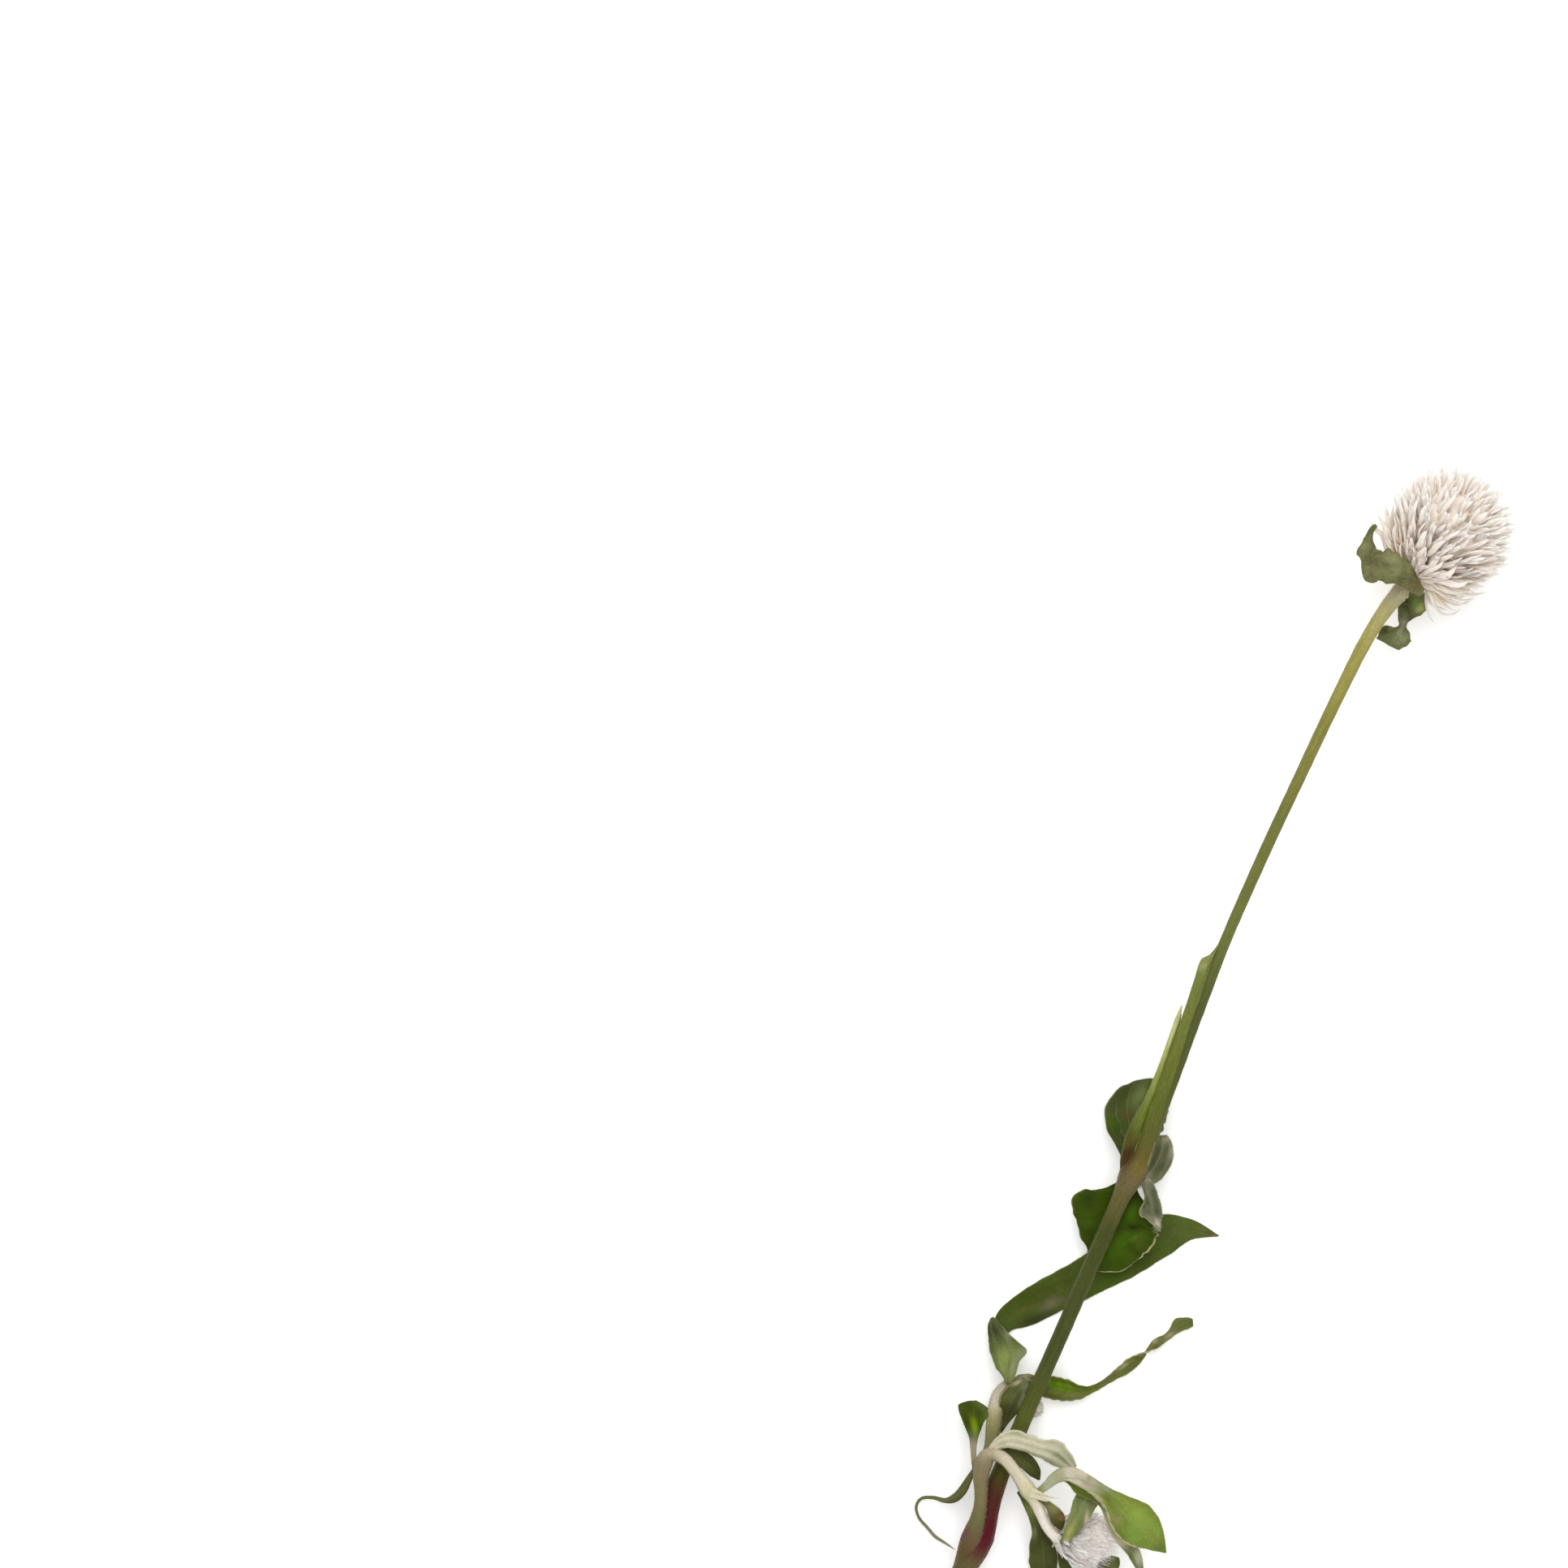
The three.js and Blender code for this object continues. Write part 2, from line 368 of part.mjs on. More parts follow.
/** Triangles turned so that the solid's volume is positive. */
function orient(points, triangles) {
  let volume = 0;
  for (let i = 0; i < triangles.length; i += 3) {
    const [a, b, c] = [points[triangles[i]], points[triangles[i + 1]], points[triangles[i + 2]]];
    volume += a.dot(new THREE.Vector3().crossVectors(b, c));
  }
  if (volume > 0) return triangles;
  const turned = [];
  for (let i = 0; i < triangles.length; i += 3) turned.push(triangles[i], triangles[i + 2], triangles[i + 1]);
  return turned;
}

/** A leaf blade: a cupped, waved sheet along its midrib, never below the surface it lies on. */
function blade({ rows, wave = [0, 1, 0] }, { grow = 0, across = 4 } = {}) {
  const steps = rows.length > 8 ? rows.length - 1 : Math.round((rows.length - 1) * 1.6);
  const half = LEAF_THICKNESS / 2 + grow;
  const mid = track(rows, steps).map(({ values, point, side, face }, i) => {
    const [, , , left, right, roll, cup] = values;
    const turn = THREE.MathUtils.degToRad(roll);
    const s = side.clone().multiplyScalar(Math.cos(turn)).addScaledVector(face, -Math.sin(turn));
    const n = face.clone().multiplyScalar(Math.cos(turn)).addScaledVector(side, Math.sin(turn));
    const bend = THREE.MathUtils.degToRad(Math.abs(cup) < 0.5 ? 0.5 : cup);
    return Array.from({ length: across + 1 }, (_, j) => {
      const f = (2 * j) / across - 1;
      const width = Math.max((f < 0 ? left : right) + grow, 0.25);
      const arc = (width * Math.abs(bend)) / Math.sin(Math.abs(bend));
      const ripple = wave[0] * Math.sin(2 * Math.PI * wave[1] * (i / steps) + wave[2] + (f < 0 ? 2 : 0)) * f * f
        * Math.min(1, width / 2);
      return point.clone()
        .addScaledVector(s, (arc * Math.sin(bend * f)) / bend)
        .addScaledVector(n, (arc * (1 - Math.cos(bend * f))) / bend + ripple);
    });
  });
  const floor = grow ? -1 : 0;
  const top = [];
  const bottom = [];
  for (let i = 0; i <= steps; i += 1) {
    for (let j = 0; j <= across; j += 1) {
      const along1 = mid[Math.min(i + 1, steps)][j].clone().sub(mid[Math.max(i - 1, 0)][j]);
      const across1 = mid[i][Math.min(j + 1, across)].clone().sub(mid[i][Math.max(j - 1, 0)]);
      const normal = new THREE.Vector3().crossVectors(across1, along1).normalize();
      const m = mid[i][j].clone();
      m.z = Math.max(m.z, floor + half * Math.abs(normal.z));
      top.push(m.clone().addScaledVector(normal, half));
      bottom.push(m.clone().addScaledVector(normal, -half));
    }
  }
  const points = [...top, ...bottom];
  points.forEach((p) => { if (p.z < floor + 0.05) p.z = floor; });
  const n = top.length;
  const triangles = [];
  const at = (i, j) => i * (across + 1) + j;
  for (let i = 0; i < steps; i += 1) {
    for (let j = 0; j < across; j += 1) {
      const [a, b, c, d] = [at(i, j), at(i, j + 1), at(i + 1, j + 1), at(i + 1, j)];
      triangles.push(a, b, c, a, c, d, n + a, n + c, n + b, n + a, n + d, n + c);
    }
  }
  const rim = [];
  for (let j = 0; j < across; j += 1) rim.push(at(0, j));
  for (let i = 0; i < steps; i += 1) rim.push(at(i, across));
  for (let j = across; j > 0; j -= 1) rim.push(at(steps, j));
  for (let i = steps; i > 0; i -= 1) rim.push(at(i, 0));
  rim.forEach((a, k) => {
    const b = rim[(k + 1) % rim.length];
    triangles.push(a, n + a, b, b, n + a, n + b);
  });
  return closedGeometry(points, orient(points, triangles));
}

/** Repeatable random numbers from 0 to 1. */
function randomFrom(seed) {
  let state = seed;
  return () => {
    state = (state * 1664525 + 1013904223) % 4294967296;
    return state / 4294967296;
  };
}

/** One pointed bract: a narrow four-sided spindle from its root to its tip. */
function bract(root, tip, out, width, thickness) {
  const run = tip.clone().sub(root);
  const length = run.length();
  const t = run.clone().normalize();
  const wide = new THREE.Vector3().crossVectors(t, out).normalize();
  const thin = new THREE.Vector3().crossVectors(wide, t).normalize();
  const points = [];
  [[0, 0.62], [0.52, 1]].forEach(([f, size]) => {
    const c = root.clone().addScaledVector(t, length * f);
    points.push(
      c.clone().addScaledVector(wide, (width * size) / 2), c.clone().addScaledVector(thin, (thickness * size) / 2),
      c.clone().addScaledVector(wide, (-width * size) / 2), c.clone().addScaledVector(thin, (-thickness * size) / 2),
    );
  });
  points.push(tip.clone());
  const triangles = [0, 1, 2, 0, 2, 3];
  for (let k = 0; k < 4; k += 1) {
    const b = (k + 1) % 4;
    triangles.push(k, 4 + k, b, b, 4 + k, 4 + b, 4 + k, 8, 4 + b);
  }
  points.forEach((p) => { p.z = Math.max(p.z, 0); });
  return closedGeometry(points, orient(points, triangles));
}

/** A flower head: a round core with pointed bracts that fan from low on its axis. */
function flowerHead(head, seed) {
  const random = randomFrom(seed);
  const centre = new THREE.Vector3(...head.centre);
  const axis = new THREE.Vector3(...head.axis).normalize();
  const u = new THREE.Vector3(0, 0, 1).cross(axis).normalize();
  const v = new THREE.Vector3().crossVectors(axis, u);
  const fan = centre.clone().addScaledVector(axis, -head.fan);
  const core = new THREE.IcosahedronGeometry(head.core, head.detail);
  core.translate(centre.x, centre.y, centre.z);
  const solids = [solidOf(core)];
  for (let i = 0; i < head.bracts; i += 1) {
    const lift = 1 - (1 - head.lowest) * ((i + 0.5) / head.bracts);
    const ring = Math.sqrt(1 - lift * lift);
    const turn = i * Math.PI * (3 - Math.sqrt(5)) + (random() - 0.5) * 0.2;
    const out = axis.clone().multiplyScalar(lift)
      .addScaledVector(u, ring * Math.cos(turn)).addScaledVector(v, ring * Math.sin(turn));
    const tip = centre.clone().addScaledVector(out, head.radius - random() * head.jitter);
    const run = tip.clone().sub(fan).normalize();
    const root = tip.clone().addScaledVector(run, -head.radius * 0.62);
    solids.push(solidOf(bract(root, tip, out, head.width * (0.85 + 0.3 * random()), head.thickness)));
  }
  head.loose.forEach(([root, tip]) => {
    solids.push(solidOf(bract(new THREE.Vector3(...root), new THREE.Vector3(...tip), axis, head.width * 0.6, head.thickness * 0.6)));
  });
  return wasm.Manifold.union(solids);
}

// The sub-parts

const solids = {};      // name to solid
const clearances = {};  // name to the same solid, larger by the seat gap
const joined = (parts) => wasm.Manifold.union(parts.map(solidOf));

const stemRods = (grow) => joined([
  rod(MAIN_STEM, { sides: STEM_SIDES, grow, slant: grow ? 0 : 0.35 }),
  rod(STRIP_LONG, { sides: 6, grow }),
  rod(STRIP_SHORT, { sides: 6, grow }),
]);
solids.main_stem = stemRods(0);
clearances.main_stem = stemRods(SEAT_GAP);

const shootA = (grow) => joined([rod(STALK_A, { sides: STALK_SIDES, grow })]);
const shootB = (grow) => joined([
  rod(STALK_B, { sides: STALK_SIDES, grow }), rod(BUD_STALK, { sides: 6, grow }),
]);
solids.stalk_a = shootA(0).subtract(clearances.main_stem);
clearances.stalk_a = shootA(SEAT_GAP);
solids.stalk_b = shootB(0).subtract(clearances.stalk_a);
clearances.stalk_b = shootB(SEAT_GAP);

const curled = (grow) => joined([rod(CURLED_LEAF, { sides: 6, perSpan: 2, grow })]);
solids.curled_leaf = curled(0).subtract(clearances.stalk_a).subtract(clearances.stalk_b);
clearances.curled_leaf = curled(SEAT_GAP);

// The small head and the bud sit inside these balls, which their neighbours stay clear of.
const ball = (head) => {
  const shape = new THREE.IcosahedronGeometry(head.radius + SEAT_GAP, 3);
  shape.translate(...head.centre);
  return solidOf(shape);
};
clearances.head_a = ball(HEAD_A);
clearances.bud_b = ball(BUD_B);

Object.entries(LEAVES).forEach(([name, leaf]) => {
  let solid = solidOf(blade(leaf));
  leaf.seats.forEach((seat) => { solid = solid.subtract(clearances[seat]); });
  solids[name] = solid;
  clearances[name] = solidOf(blade(leaf, { grow: SEAT_GAP }));
});

solids.head_a = flowerHead(HEAD_A, 23).subtract(clearances.stalk_a);
solids.bud_b = flowerHead(BUD_B, 37).subtract(clearances.stalk_b);
solids.head_main = flowerHead(HEAD, 11).subtract(clearances.main_stem)
  .subtract(clearances.head_bract_left).subtract(clearances.head_bract_right);

// The scene graph

const COLOURS = {
  main_stem: 0x7c8a4c, stalk_a: 0xa9a57c, stalk_b: 0x9c9874, curled_leaf: 0x6b6c48,
  head_main: 0xe9e3dc, head_a: 0xe4dcd4, bud_b: 0xd9d2c4,
};

function subPart(name, roughness) {
  const box = solids[name].boundingBox();
  const origin = new THREE.Vector3(...box.min).add(new THREE.Vector3(...box.max)).multiplyScalar(0.5);
  const material = new THREE.MeshStandardMaterial({ color: COLOURS[name] ?? LEAVES[name].colour, roughness, metalness: 0 });
  const mesh = new THREE.Mesh(geometryOf(solids[name], origin), material);
  mesh.name = name;
  mesh.position.copy(origin);
  return mesh;
}

const part = new THREE.Group();
const flower = new THREE.Group();
const upperNode = new THREE.Group();
const sideShoots = new THREE.Group();
part.add(subPart('main_stem', 0.75), flower, upperNode, sideShoots);
flower.add(subPart('head_main', 0.9), subPart('head_bract_left', 0.85), subPart('head_bract_right', 0.85));
sideShoots.add(
  subPart('stalk_a', 0.85), subPart('stalk_b', 0.85), subPart('curled_leaf', 0.85),
  subPart('head_a', 0.9), subPart('bud_b', 0.95),
);
Object.keys(LEAVES).forEach((name) => {
  if (name.startsWith('upper_')) upperNode.add(subPart(name, 0.75));
  else if (!name.startsWith('head_bract')) sideShoots.add(subPart(name, 0.8));
});

export default part;
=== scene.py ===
"""A cut stem of white globe amaranth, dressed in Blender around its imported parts.

The stem lies on a level surface and the camera looks straight down on it. Tables are in
millimetres in the part's own frame, +Y along the stem to the flower head and +Z up, and
are turned into metres where a mesh is made.
"""
import logging
import math
from collections.abc import Callable
from dataclasses import dataclass, field
from enum import Enum

import bpy
import numpy as np
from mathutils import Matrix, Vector


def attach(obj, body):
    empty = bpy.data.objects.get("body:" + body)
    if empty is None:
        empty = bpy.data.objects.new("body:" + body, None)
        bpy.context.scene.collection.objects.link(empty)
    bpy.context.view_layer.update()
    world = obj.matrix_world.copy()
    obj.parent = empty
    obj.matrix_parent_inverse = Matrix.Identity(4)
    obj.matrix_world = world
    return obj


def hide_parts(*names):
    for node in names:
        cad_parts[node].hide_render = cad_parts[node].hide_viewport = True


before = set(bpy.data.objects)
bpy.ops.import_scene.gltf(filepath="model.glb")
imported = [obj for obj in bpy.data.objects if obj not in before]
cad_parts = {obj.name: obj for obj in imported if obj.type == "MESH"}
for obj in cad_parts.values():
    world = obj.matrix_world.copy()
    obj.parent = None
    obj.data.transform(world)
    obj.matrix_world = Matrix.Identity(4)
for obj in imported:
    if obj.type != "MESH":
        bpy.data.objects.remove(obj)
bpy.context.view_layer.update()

LOG = logging.getLogger("globe_amaranth")
MM = 0.001
UP = np.array([0.0, 0.0, 1.0])
MOST_CUTS = 90          # rings that one subdivision makes, well under its own limit
LIFT = 0.02             # of a leaf that lies on the surface, mm
Rows = tuple[tuple[float, ...], ...]
Value = bpy.types.NodeSocket | float | tuple[float, ...]


class Slot(Enum):
    """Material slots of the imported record."""

    STEM = "stem"
    STALK = "stalk"
    LEAF_GREEN = "leaf_green"
    LEAF_DARK = "leaf_dark"
    LEAF_GREY = "leaf_grey"
    DRY_LEAF = "dry_leaf"
    BRACT_WHITE = "bract_white"
    BUD_WOOL = "bud_wool"


# Curves


def unit(vectors: np.ndarray) -> np.ndarray:
    """Vectors scaled to length one."""
    return vectors / np.maximum(np.linalg.norm(vectors, axis=-1, keepdims=True), 1e-9)


def along(rows: Rows, t: np.ndarray) -> np.ndarray:
    """Reads a table on a smooth curve through its rows.

    Args:
        rows: The table, one row of numbers at each step along the curve.
        t: Places on the curve, from 0 at the first row to 1 at the last.

    Returns:
        One row of numbers for each place.
    """
    table = np.asarray(rows, float)
    last = len(table) - 1
    ends = np.vstack([2 * table[0] - table[1], table, 2 * table[-1] - table[-2]])
    span = np.clip(np.floor(t * last).astype(int), 0, last - 1)
    u = (t * last - span)[:, None]
    a, b, c, d = (ends[span + k] for k in range(4))
    return 0.5 * (2 * b + (c - a) * u + (2 * a - 5 * b + 4 * c - d) * u**2 + (3 * b - a - 3 * c + d) * u**3)


@dataclass
class Track:
    """Places on a curve, each with its direction, its right-hand side and its face."""

    values: np.ndarray
    run: np.ndarray
    side: np.ndarray
    face: np.ndarray

    @property
    def point(self) -> np.ndarray:
        """The places themselves."""
        return self.values[:, :3]


def track(rows: Rows, t: np.ndarray) -> Track:
    """Follows a table's curve.

    Args:
        rows: The table, whose first three columns are x, y and z.
        t: Places on the curve, from 0 to 1.

    Returns:
        The places with a frame at each.
    """
    ahead = along(rows, np.minimum(t + 0.01, 1))[:, :3]
    behind = along(rows, np.maximum(t - 0.01, 0))[:, :3]
    run = unit(ahead - behind)
    side = unit(np.cross(run, UP))
    return Track(along(rows, t), run, side, np.cross(side, run))


class Measure:
    """A curve's length, and the places that lie at even steps along it."""

    def __init__(self, rows: Rows) -> None:
        """Measures a curve.

        Args:
            rows: The table, whose first three columns are x, y and z.
        """
        self.steps = np.linspace(0, 1, 500)
        path = along(rows, self.steps)[:, :3]
        gone = np.linalg.norm(np.diff(path, axis=0), axis=1)
        self.lengths = np.concatenate([[0.0], np.cumsum(gone)])
        self.total = float(self.lengths[-1])

    def place(self, share: np.ndarray) -> np.ndarray:
        """The place t that lies at a share of the length."""
        return np.interp(share * self.total, self.lengths, self.steps)


def smooth(value: np.ndarray, low: float, high: float) -> np.ndarray:
    """Rises smoothly from 0 at low to 1 at high, or falls where low is the larger."""
    x = np.clip((value - low) / (high - low), 0, 1)
    return x * x * (3 - 2 * x)


def waves(seed: int, a: np.ndarray, b: np.ndarray, pitch: float) -> np.ndarray:
    """Uneven waves over a surface, from about -1 to 1.

    Args:
        seed: Chooses the waves' directions.
        a: One distance over the surface.
        b: The other distance.
        pitch: The longest wave, in the same unit.

    Returns:
        The height at each place.
    """
    rng = np.random.default_rng(seed)
    height = np.zeros(np.broadcast(a, b).shape)
    for k in range(5):
        turn, phase = rng.uniform(0, 2 * np.pi, 2)
        size = 2 * np.pi * (1 + 0.6 * k) / pitch
        height = height + np.sin(size * (a * np.cos(turn) + b * np.sin(turn)) + phase) / (1.6 + 0.8 * k)
    return height


# Meshes


def coordinates(piece: bpy.types.Object) -> np.ndarray:
    """Reads where a mesh's vertices are.

    Args:
        piece: The mesh's object.

    Returns:
        The vertices, one row each.
    """
    flat = np.empty(len(piece.data.vertices) * 3, np.float32)
    piece.data.vertices.foreach_get("co", flat)
    return flat.reshape(-1, 3).astype(float)


def set_coordinates(piece: bpy.types.Object, points: np.ndarray) -> None:
    """Moves a mesh's vertices to the given rows."""
    piece.data.vertices.foreach_set("co", points.astype(np.float32).ravel())
    piece.data.update()


def set_attribute(piece: bpy.types.Object, name: str, values: np.ndarray) -> None:
    """Stores a number or a vector for each vertex, for the material to read.

    Args:
        piece: The mesh's object.
        name: The name that the material reads.
        values: One number or one row of three for each vertex.
    """
    kind, key = ("FLOAT_VECTOR", "vector") if values.ndim == 2 else ("FLOAT", "value")
    attribute = piece.data.attributes.get(name) or piece.data.attributes.new(name, kind, "POINT")
    attribute.data.foreach_set(key, values.astype(np.float32).ravel())


def apply_modifier(piece: bpy.types.Object, kind: str, **settings: object) -> None:
    """Adds a modifier to a piece and applies it.

    Args:
        piece: The piece, which is made the active object.
        kind: The modifier's type.
        settings: The modifier's own settings by name.
    """
    bpy.context.view_layer.objects.active = piece
    modifier = piece.modifiers.new(kind.lower(), kind)
    for key, value in settings.items():
        setattr(modifier, key, value)
    bpy.ops.object.modifier_apply(modifier=modifier.name)


def start(add: Callable, name: str, **settings: object) -> bpy.types.Object:
    """Adds a primitive with nothing else selected.

    Args:
        add: The operator that adds it.
        name: The new piece's name.
        settings: The operator's own settings.

    Returns:
        The new piece.
    """
    bpy.ops.object.select_all(action="DESELECT")
    add(**settings)
    piece = bpy.context.object
    piece.name = piece.data.name = name
    return piece


def cut_rings(piece: bpy.types.Object, cuts: int) -> None:
    """Divides the edges that run up a cylinder or cone into rings.

    Args:
        piece: The cylinder or cone, standing along Z.
        cuts: How many rings to cut in.
    """
    mesh = piece.data
    bpy.ops.object.mode_set(mode="EDIT")
    bpy.ops.mesh.select_mode(type="EDGE")
    bpy.ops.mesh.select_all(action="DESELECT")
    bpy.ops.object.mode_set(mode="OBJECT")
    for edge in mesh.edges:
        a, b = (mesh.vertices[i].co for i in edge.vertices)
        edge.select = abs(a.z - b.z) > 1e-6
    bpy.ops.object.mode_set(mode="EDIT")
    bpy.ops.mesh.subdivide(number_cuts=cuts)
    bpy.ops.object.mode_set(mode="OBJECT")


def settle(piece: bpy.types.Object, slot: Slot, *nodes: str) -> None:
    """Hangs a finished piece on the plant and hides the CAD nodes that it stands for.

    Args:
        piece: The finished piece.
        slot: The record's material slot; not used.
        nodes: The CAD nodes that the piece replaces.
    """
    bpy.ops.object.select_all(action="DESELECT")
    piece.select_set(True)
    bpy.context.view_layer.objects.active = piece
    bpy.ops.object.shade_smooth()
    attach(piece, "root")
    if nodes:
        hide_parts(*nodes)
    LOG.info("%s: %d faces", piece.name, len(piece.data.polygons))


# Materials


def paint(code: int) -> tuple[float, float, float, float]:
    """Turns a colour into the linear values that a shader takes.

    Args:
        code: The colour, as 0xRRGGBB.

    Returns:
        Red, green, blue and a full alpha.
    """
    parts = [(code >> shift & 255) / 255 for shift in (16, 8, 0)]
    linear = [c / 12.92 if c <= 0.04045 else ((c + 0.055) / 1.055) ** 2.4 for c in parts]
    return (*linear, 1.0)


@dataclass(frozen=True)
class Patch:
    """A soft-edged spot of colour, in plan: its place, reach and strength. Spots give stains and tones of
    the plant, and on some leaves painted light and shade.
    """

    x: float
    y: float
    reach: float
    amount: float
    colour: int
    stretch: float = 1.0      # how much further it reaches one way
    turn: float = 90.0        # that way, in degrees from +X

    def at(self, points: np.ndarray) -> np.ndarray:
        """Measures how strong the spot is.

        Args:
            points: Points in millimetres.

        Returns:
            The strength at each point, from 0 to 1.
        """
        away = points[:, :2] - (self.x, self.y)
        c, s = math.cos(math.radians(self.turn)), math.sin(math.radians(self.turn))
        far = (away @ (c, s)) / (self.reach * self.stretch)
        near = (away @ (-s, c)) / self.reach
        return np.clip(self.amount * np.exp(-(far**2) - near**2), 0, 1)


def store_wash(piece: bpy.types.Object, patches: tuple[Patch, ...], points: np.ndarray) -> None:
    """Stores the colour that a piece's spots lay over its material.

    Args:
        piece: The piece.
        patches: The spots, each over the ones before.
        points: The piece's vertices in millimetres.
    """
    colour, cover = np.zeros((len(points), 3)), np.zeros(len(points))
    for patch in patches:
        share = patch.at(points)
        colour = colour * (1 - share[:, None]) + np.array(paint(patch.colour)[:3]) * share[:, None]
        cover = cover + share - cover * share
    set_attribute(piece, "wash", colour / np.maximum(cover, 1e-4)[:, None])
    set_attribute(piece, "cover", cover)


class Sketch:
    """A material's node tree, with a short call for each node that the finishes use."""

    def __init__(self, name: str) -> None:
        """Starts a material with its shader.

        Args:
            name: The material's name.
        """
        self.material = bpy.data.materials.new(name)
        self.material.use_nodes = True
        self.nodes = self.material.node_tree.nodes
        self.links = self.material.node_tree.links
        self.shader = self.nodes["Principled BSDF"]

    def add(self, kind: str, inputs: dict, out: int | str = 0, **settings: object) -> bpy.types.NodeSocket:
        """Adds a node and feeds it.

        Args:
            kind: The node's type.
            inputs: Values or sockets by input name or number.
            out: The output to return.
            settings: The node's own settings.

        Returns:
            The output socket.
        """
        node = self.nodes.new(kind)
        for key, value in settings.items():
            setattr(node, key, value)
        for key, value in inputs.items():
            self.feed(node.inputs[key], value)
        return node.outputs[out]

    def feed(self, socket: bpy.types.NodeSocket, value: Value) -> None:
        """Links a socket to an input, or sets the input to a value.

        Args:
            socket: The input.
            value: What it gets.
        """
        if isinstance(value, bpy.types.NodeSocket):
            self.links.new(value, socket)
        else:
            socket.default_value = value

    def place(self) -> bpy.types.NodeSocket:
        """The point's own place on the piece, in metres."""
        return self.add("ShaderNodeTexCoord", {}, "Object")

    def stored(self, name: str, out: str = "Fac") -> bpy.types.NodeSocket:
        """A value that the mesh stores at each vertex."""
        return self.add("ShaderNodeAttribute", {}, out, attribute_name=name)

    def math(self, operation: str, *values: Value) -> bpy.types.NodeSocket:
        """A sum, product or other operation on one to three values."""
        return self.add("ShaderNodeMath", dict(enumerate(values)), operation=operation)

    def split(self, vector: bpy.types.NodeSocket, axis: str) -> bpy.types.NodeSocket:
        """One part of a vector."""
        return self.add("ShaderNodeSeparateXYZ", {0: vector}, axis)

    def stretch(self, vector: bpy.types.NodeSocket, scale: tuple[float, ...]) -> bpy.types.NodeSocket:
        """A vector scaled by a different amount along each axis."""
        return self.add("ShaderNodeVectorMath", {0: vector, 1: scale}, operation="MULTIPLY")

    def noise(self, vector: bpy.types.NodeSocket, scale: float, detail: float = 3.0) -> bpy.types.NodeSocket:
        """Cloudy noise from 0 to 1."""
        return self.add("ShaderNodeTexNoise", {"Vector": vector, "Scale": scale, "Detail": detail})

    def net(self, vector: bpy.types.NodeSocket, scale: float) -> bpy.types.NodeSocket:
        """Distance to the nearest line of a net of cells."""
        inputs = {"Vector": vector, "Scale": scale}
        return self.add("ShaderNodeTexVoronoi", inputs, feature="DISTANCE_TO_EDGE")

    def step(self, value: Value, low: float, high: float, top: float = 1.0) -> bpy.types.NodeSocket:
        """Rises smoothly from 0 to its top, or falls where low is the larger.

        Args:
            value: What is read.
            low: Where it gives 0.
            high: Where it gives the top.
            top: The highest value.

        Returns:
            The result.
        """
        inputs = {0: value, 1: min(low, high), 2: max(low, high)}
        inputs.update({3: 0.0, 4: top} if low < high else {3: top, 4: 0.0})
        return self.add("ShaderNodeMapRange", inputs, interpolation_type="SMOOTHSTEP")

    def mix(self, share: Value, first: Value, second: Value) -> bpy.types.NodeSocket:
        """Two colours mixed, each given as 0xRRGGBB or as a socket."""
        colours = [paint(c) if isinstance(c, int) else c for c in (first, second)]
        return self.add("ShaderNodeMix", {0: share, 6: colours[0], 7: colours[1]}, 2, data_type="RGBA")

    def ramp(self, value: Value, stops: tuple[tuple[float, int], ...]) -> bpy.types.NodeSocket:
        """A colour read off a row of stops.

        Args:
            value: Where to read, from 0 to 1.
            stops: Place and colour of each stop, in order.

        Returns:
            The colour.
        """
        node = self.nodes.new("ShaderNodeValToRGB")
        self.feed(node.inputs[0], value)
        elements = node.color_ramp.elements
        while len(elements) < len(stops):
            elements.new(1.0)
        for element, (at, colour) in zip(elements, stops):
            element.position = at
            element.color = paint(colour)
        return node.outputs[0]

    def washed(self, colour: Value) -> bpy.types.NodeSocket:
        """A colour with the piece's stored spots laid over it."""
        return self.mix(self.stored("cover"), colour, self.stored("wash", "Color"))

    def mottled(self, colour: Value, light: Value, dark: Value, grain: Value) -> bpy.types.NodeSocket:
        """A colour with fine lighter and darker grain.

        Args:
            colour: The colour.
            light: How strong the lighter grain is.
            dark: How strong the darker grain is.
            grain: The grain, from 0 to 1.

        Returns:
            The new colour.
        """
        bright = self.add("ShaderNodeHueSaturation", {"Color": colour, "Saturation": 0.8, "Value": 1.5})
        dim = self.add("ShaderNodeHueSaturation", {"Color": colour, "Value": 0.55})
        colour = self.mix(self.step(grain, 0.5, 0.75, light), colour, bright)
        return self.mix(self.step(grain, 0.5, 0.25, dark), colour, dim)

    def bump(self, height: Value, depth: float, strength: float = 1.0) -> bpy.types.NodeSocket:
        """A surface raised by a height, depth in metres."""
        return self.add("ShaderNodeBump", {"Height": height, "Distance": depth, "Strength": strength})

    def finish(self, colour: Value, roughness: Value, normal: Value,
               **fixed: Value) -> bpy.types.Material:
        """Feeds the shader.

        Args:
            colour: The base colour.
            roughness: The roughness.
            normal: The bumped normal.
            fixed: Values of the shader's other sockets, with _ for a space.

        Returns:
            The finished material.
        """
        self.feed(self.shader.inputs["Base Color"], colour)
        self.feed(self.shader.inputs["Roughness"], roughness)
        self.feed(self.shader.inputs["Normal"], normal)
        for key, value in fixed.items():
            self.shader.inputs[key.replace("_", " ")].default_value = value
        return self.material


